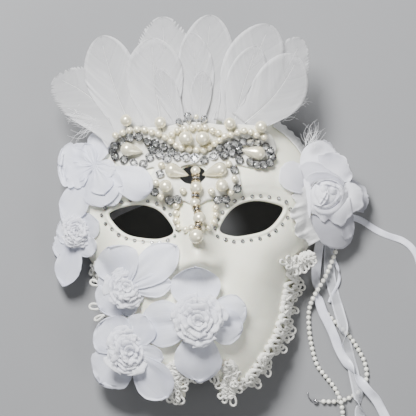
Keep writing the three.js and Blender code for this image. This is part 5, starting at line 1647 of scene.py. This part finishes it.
def of_cotton(name, parts, replaced=()):
    """Several (points, faces) as one piece of cotton lace."""
    glued(name, parts, [0] * len(parts), [cotton], "lace", replaced)


chance = random.Random(41)
for name, first, last in (("lace_right", -15, -75), ("lace_left", -105, -172)):
    of_cotton(name + "_braid", lace_band(first, last, chance), [name])


def on_dress(place, angle, size, wide, lift=1.4, radius=0.8):
    """A single loop lying on what the lace lies on, its root at a place, heading at an angle."""
    turn = math.radians(angle)
    return loop_of_thread(place, (math.cos(turn), math.sin(turn)), size, wide, 0, lift, radius,
                          dress_height)


TOP_LOOPS = 5


def folded(middle, width, loops, chance):
    """A lace end folded over itself: plaited strands over a sheet, and loops at its edge."""
    route = smooth_route([(*p, 0) for p in middle], 14)[:, :2]
    along = along_of(route)
    out = np.c_[along[:, 1], -along[:, 0]]
    count = len(route)
    half = width / 2 * np.interp(np.arange(count), [0, 6, count - 8, count - 1], [0.6, 1, 0.95, 0.5])
    half = half * (1 + 0.12 * waver(count, chance, 9))
    sheet = [laid(route + out * (half * v)[:, None], 0.9 + 0.6 * waver(count, chance, 7),
                  dress_height) + (0, 0, 0.8) for v in np.linspace(-1, 1, 9)]
    parts = [thin_body(sheet, 0.9)]
    for side in (-0.45, 0.45):
        parts += plaited(route, out, side * half, 0.45 * half, 1.45, 10, chance, dress_height)
    for _ in range(TOP_LOOPS):
        at = chance.randint(3, count - 6)
        root = route[at] + out[at] * half[at] * chance.uniform(-0.7, 0.7)
        angle = math.degrees(chance.uniform(0, 2 * math.pi))
        parts.append(on_dress(root, angle, 3.6, 3, 3 + 1.2 * chance.random(), 0.72))
    parts += [on_dress(place, angle, size, 1.2 * wide) for place, angle, size, wide in loops]
    return parts


# Each fold: its middle line, its width, and its loops' roots, headings, lengths and widths
right_fold = folded([(17, -90), (20.2, -94), (20.2, -100), (18.4, -107), (18, -114.5)], 10.5, [
    ((15, -105.5), 172, 5.6, 4.6), ((15.2, -111.5), 205, 4.4, 3.4), ((17, -113.5), 235, 4.6, 3.4),
    ((21, -110.5), 272, 9.6, 4.6), ((22, -107.5), 335, 6, 4), ((23, -104), 345, 5, 4),
], chance)
left_fold = folded([(-21.5, -88.5), (-18.6, -95), (-19.5, -102), (-20, -108), (-17.6, -114)], 10.5, [
    ((-15.6, -100.5), 8, 5.4, 4.6), ((-15.4, -106.4), 0, 5.4, 4.4), ((-20.6, -110.5), 238, 6, 4.4),
    ((-16.5, -110.5), 285, 7.2, 6.4), ((-18, -112), 262, 5.4, 4.6),
], chance)
of_cotton("lace_leaf_right_crochet", right_fold, ["lace_leaf_right"])
of_cotton("lace_leaf_left_crochet", left_fold, ["lace_leaf_left"])

# Four long loops of the left lace, crocheted in the same cotton, reach out from under the flowers
# on the cheek. They are part of the band, which the flowers are glued over.
LONG_LOOPS = [((-66.5, -48.5), 174.75, 10.2, 5.4), ((-66.2, -54), 206.26, 7.8, 3.6),
              ((-68.8, -33), 154.7, 7, 4.6), ((-63, -62.5), 189.08, 7.6, 3.6)]
of_cotton("lace_left_loops", [on_dress(*loop, radius=0.85) for loop in LONG_LOOPS])

# A thinner plait of the same cotton edges the arch of the notch between the two folds. Its loops
# hang into the notch.
NOTCH_LOOPS = ((7, 5.2), (14, 4.6), (21, 6.6), (28, 7.4), (35, 5.4), (43, 6.2), (51, 6.6))
NOTCH_STEPS = 60
arch = np.linspace(0.22, math.pi - 0.3, NOTCH_STEPS)
notch_edge = np.c_[-CHIN_NOTCH_HALF * np.cos(arch), CHIN_NOTCH_TOP + NOTCH_ARCH * (np.sin(arch) - 1)]
notch_out = np.c_[0 * arch, 0 * arch - 1]
parts = plaited(notch_edge, notch_out, -0.6, 1.3, 0.95, 7, chance, dress_height)
parts += [loop_of_thread(notch_edge[k], notch_out[k], size, 0.7 * size, chance.uniform(-0.2, 0.2),
                         1.3, 0.75, dress_height) for k, size in NOTCH_LOOPS]
of_cotton("notch_edging", parts)

# A ruffled strip of thin satin is stitched along the rim beside the right eye, from the brow down
# behind the rose to where the lace begins. The gathers stand up and its free edge waves.
ruffle_satin = surface("ruffle_satin", (0.88, 0.88, 0.87), 0.45, Sheen_Weight=0.3)
shade_between(ruffle_satin, noise(ruffle_satin, 90), (0.84, 0.84, 0.83), (0.92, 0.92, 0.91))
emboss(ruffle_satin, [(noise(ruffle_satin, 1800, 2), 0.4),
                      (noise(ruffle_satin, 1, 3, at=where(ruffle_satin, (1.5, 30, 1), "UV")), 1.0)], 0.25)
let_light_through(ruffle_satin, 0.2, (0.9, 0.9, 0.92))


def ruffled_strip(line, out, narrow, wide, chance, gathers, height, rise):
    """A gathered strip along flat places: its stitched edge inwards, its free edge waving."""
    at = np.arange(len(line)) / len(line)
    fold = np.sin(2 * math.pi * gathers * at + 1.2 * waver(len(line), chance, 16))
    loose = waver(len(line), chance, 14)
    points, places = [], []
    for over in np.linspace(0, 1, 9):
        reach = narrow + (wide - narrow) * over * (1 + 0.09 * fold * over + 0.05 * loose)
        flat = line + out * reach[:, None]
        stand = rise * fold * over ** 0.8 * (0.8 + 0.3 * loose)
        points.append(np.c_[flat, height(*flat.T) + 0.9 + np.abs(stand) + 0.5 * over])
        places.append(np.c_[over + 0 * at, at * 6])
    return patterned(points, places, 0.3)


STITCH_INSET = -5.2
at, place, out = rim_places(56, 38, 0.4)
brow_strip = ruffled_strip(place, out, -4.6, 0.9, chance, 5, lace_height, 0.8)
stitch, stitch_faces = round_tube(laid(place + out * STITCH_INSET, 1.3), 0.4, 6)
of_cloth("brow_ruffle", [brow_strip, (stitch, stitch_faces, np.zeros((len(stitch), 2)))], [0, 0],
         [ruffle_satin], ["lace_brow_right"], "lace")
temple_strip = draped(
    [(81, 33, 2.2), (80.5, 22, 2.2), (80.5, 10, 2.2), (83, 1, 2), (87.5, -6, 2)],
    [(70.5, 29.5, 1.6), (67.4, 25, 1.6), (69.8, 19.4, 1.8), (66.4, 14.4, 1.6), (66.2, 9.8, 1.8),
     (69.4, 6.2, 1.8), (68.6, 0.6, 1.6), (71.2, -4.6, 1.8), (76.4, -6.2, 1.8), (78.6, -10.4, 1.6)],
    chance, bulge=2.4, ragged=0.04, ripple=1.6, curl=1.1, rows=16, columns=80, height=over_face,
    folds=4)
of_cloth("temple_ruffle", [temple_strip], [0], [ruffle_satin])

# Where the ruffle ends, the lace turns up along its lower edge. Its end is folded, gathered and
# glued under the rose.
gathered = folded([(60.5, -25.5), (64, -23.8), (68, -22), (72.5, -20.2), (77, -18.6), (81.5, -16.6)], 8.4, [
    ((64.5, -26), 262, 4.6, 3), ((67.2, -25.2), 276, 5, 3.2), ((70, -24.2), 268, 5.4, 3.4),
    ((72.8, -23), 284, 6, 3.6), ((75.6, -21.6), 276, 5, 3.2), ((78.4, -20.2), 290, 4.6, 3.2),
    ((80.8, -18.6), 282, 4, 3), ((60.6, -22), 150, 4.6, 3.6), ((63.5, -20.6), 112, 4.4, 3.6),
], chance)
of_cotton("lace_gather", gathered)


# The table that the mask lies on, and plain soft studio light: one wide lamp towards the forehead,
# a weaker one from the other side, and an even pale surround.
TABLE_HALF = 3
LAMP_AIM = Vector((0, 0, 0.03))
table = surface("pale_table", (0.22, 0.223, 0.23), 0.7)
table_mesh = bpy.data.meshes.new("table")
table_mesh.from_pydata([(x * TABLE_HALF, y * TABLE_HALF, 0) for x, y in ((-1, -1), (1, -1), (1, 1), (-1, 1))],
                       [], [(0, 1, 2, 3)])
table_mesh.materials.append(table)
table_piece = bpy.data.objects.new("table", table_mesh)
bpy.context.scene.collection.objects.link(table_piece)


def lamp(name, place, size, power):
    """A round soft lamp, its place and size in metres, turned to the mask."""
    light = bpy.data.objects.new(name, bpy.data.lights.new(name, "AREA"))
    bpy.context.scene.collection.objects.link(light)
    light.data.shape = "DISK"
    light.data.size = size
    light.data.energy = power
    light.location = place
    light.rotation_euler = (LAMP_AIM - Vector(place)).to_track_quat("-Z", "Y").to_euler()


lamp("wide_lamp", (-0.3, 0.72, 1.02), 0.45, 45)
lamp("low_lamp", (0.7, -0.5, 0.9), 0.7, 5)
world = bpy.data.worlds.new("surround")
world.use_nodes = True
surround = world.node_tree.nodes["Background"]
surround.inputs["Color"].default_value = (0.94, 0.96, 1, 1)
surround.inputs["Strength"].default_value = 0.18
bpy.context.scene.world = world

bpy.context.view_layer.update()
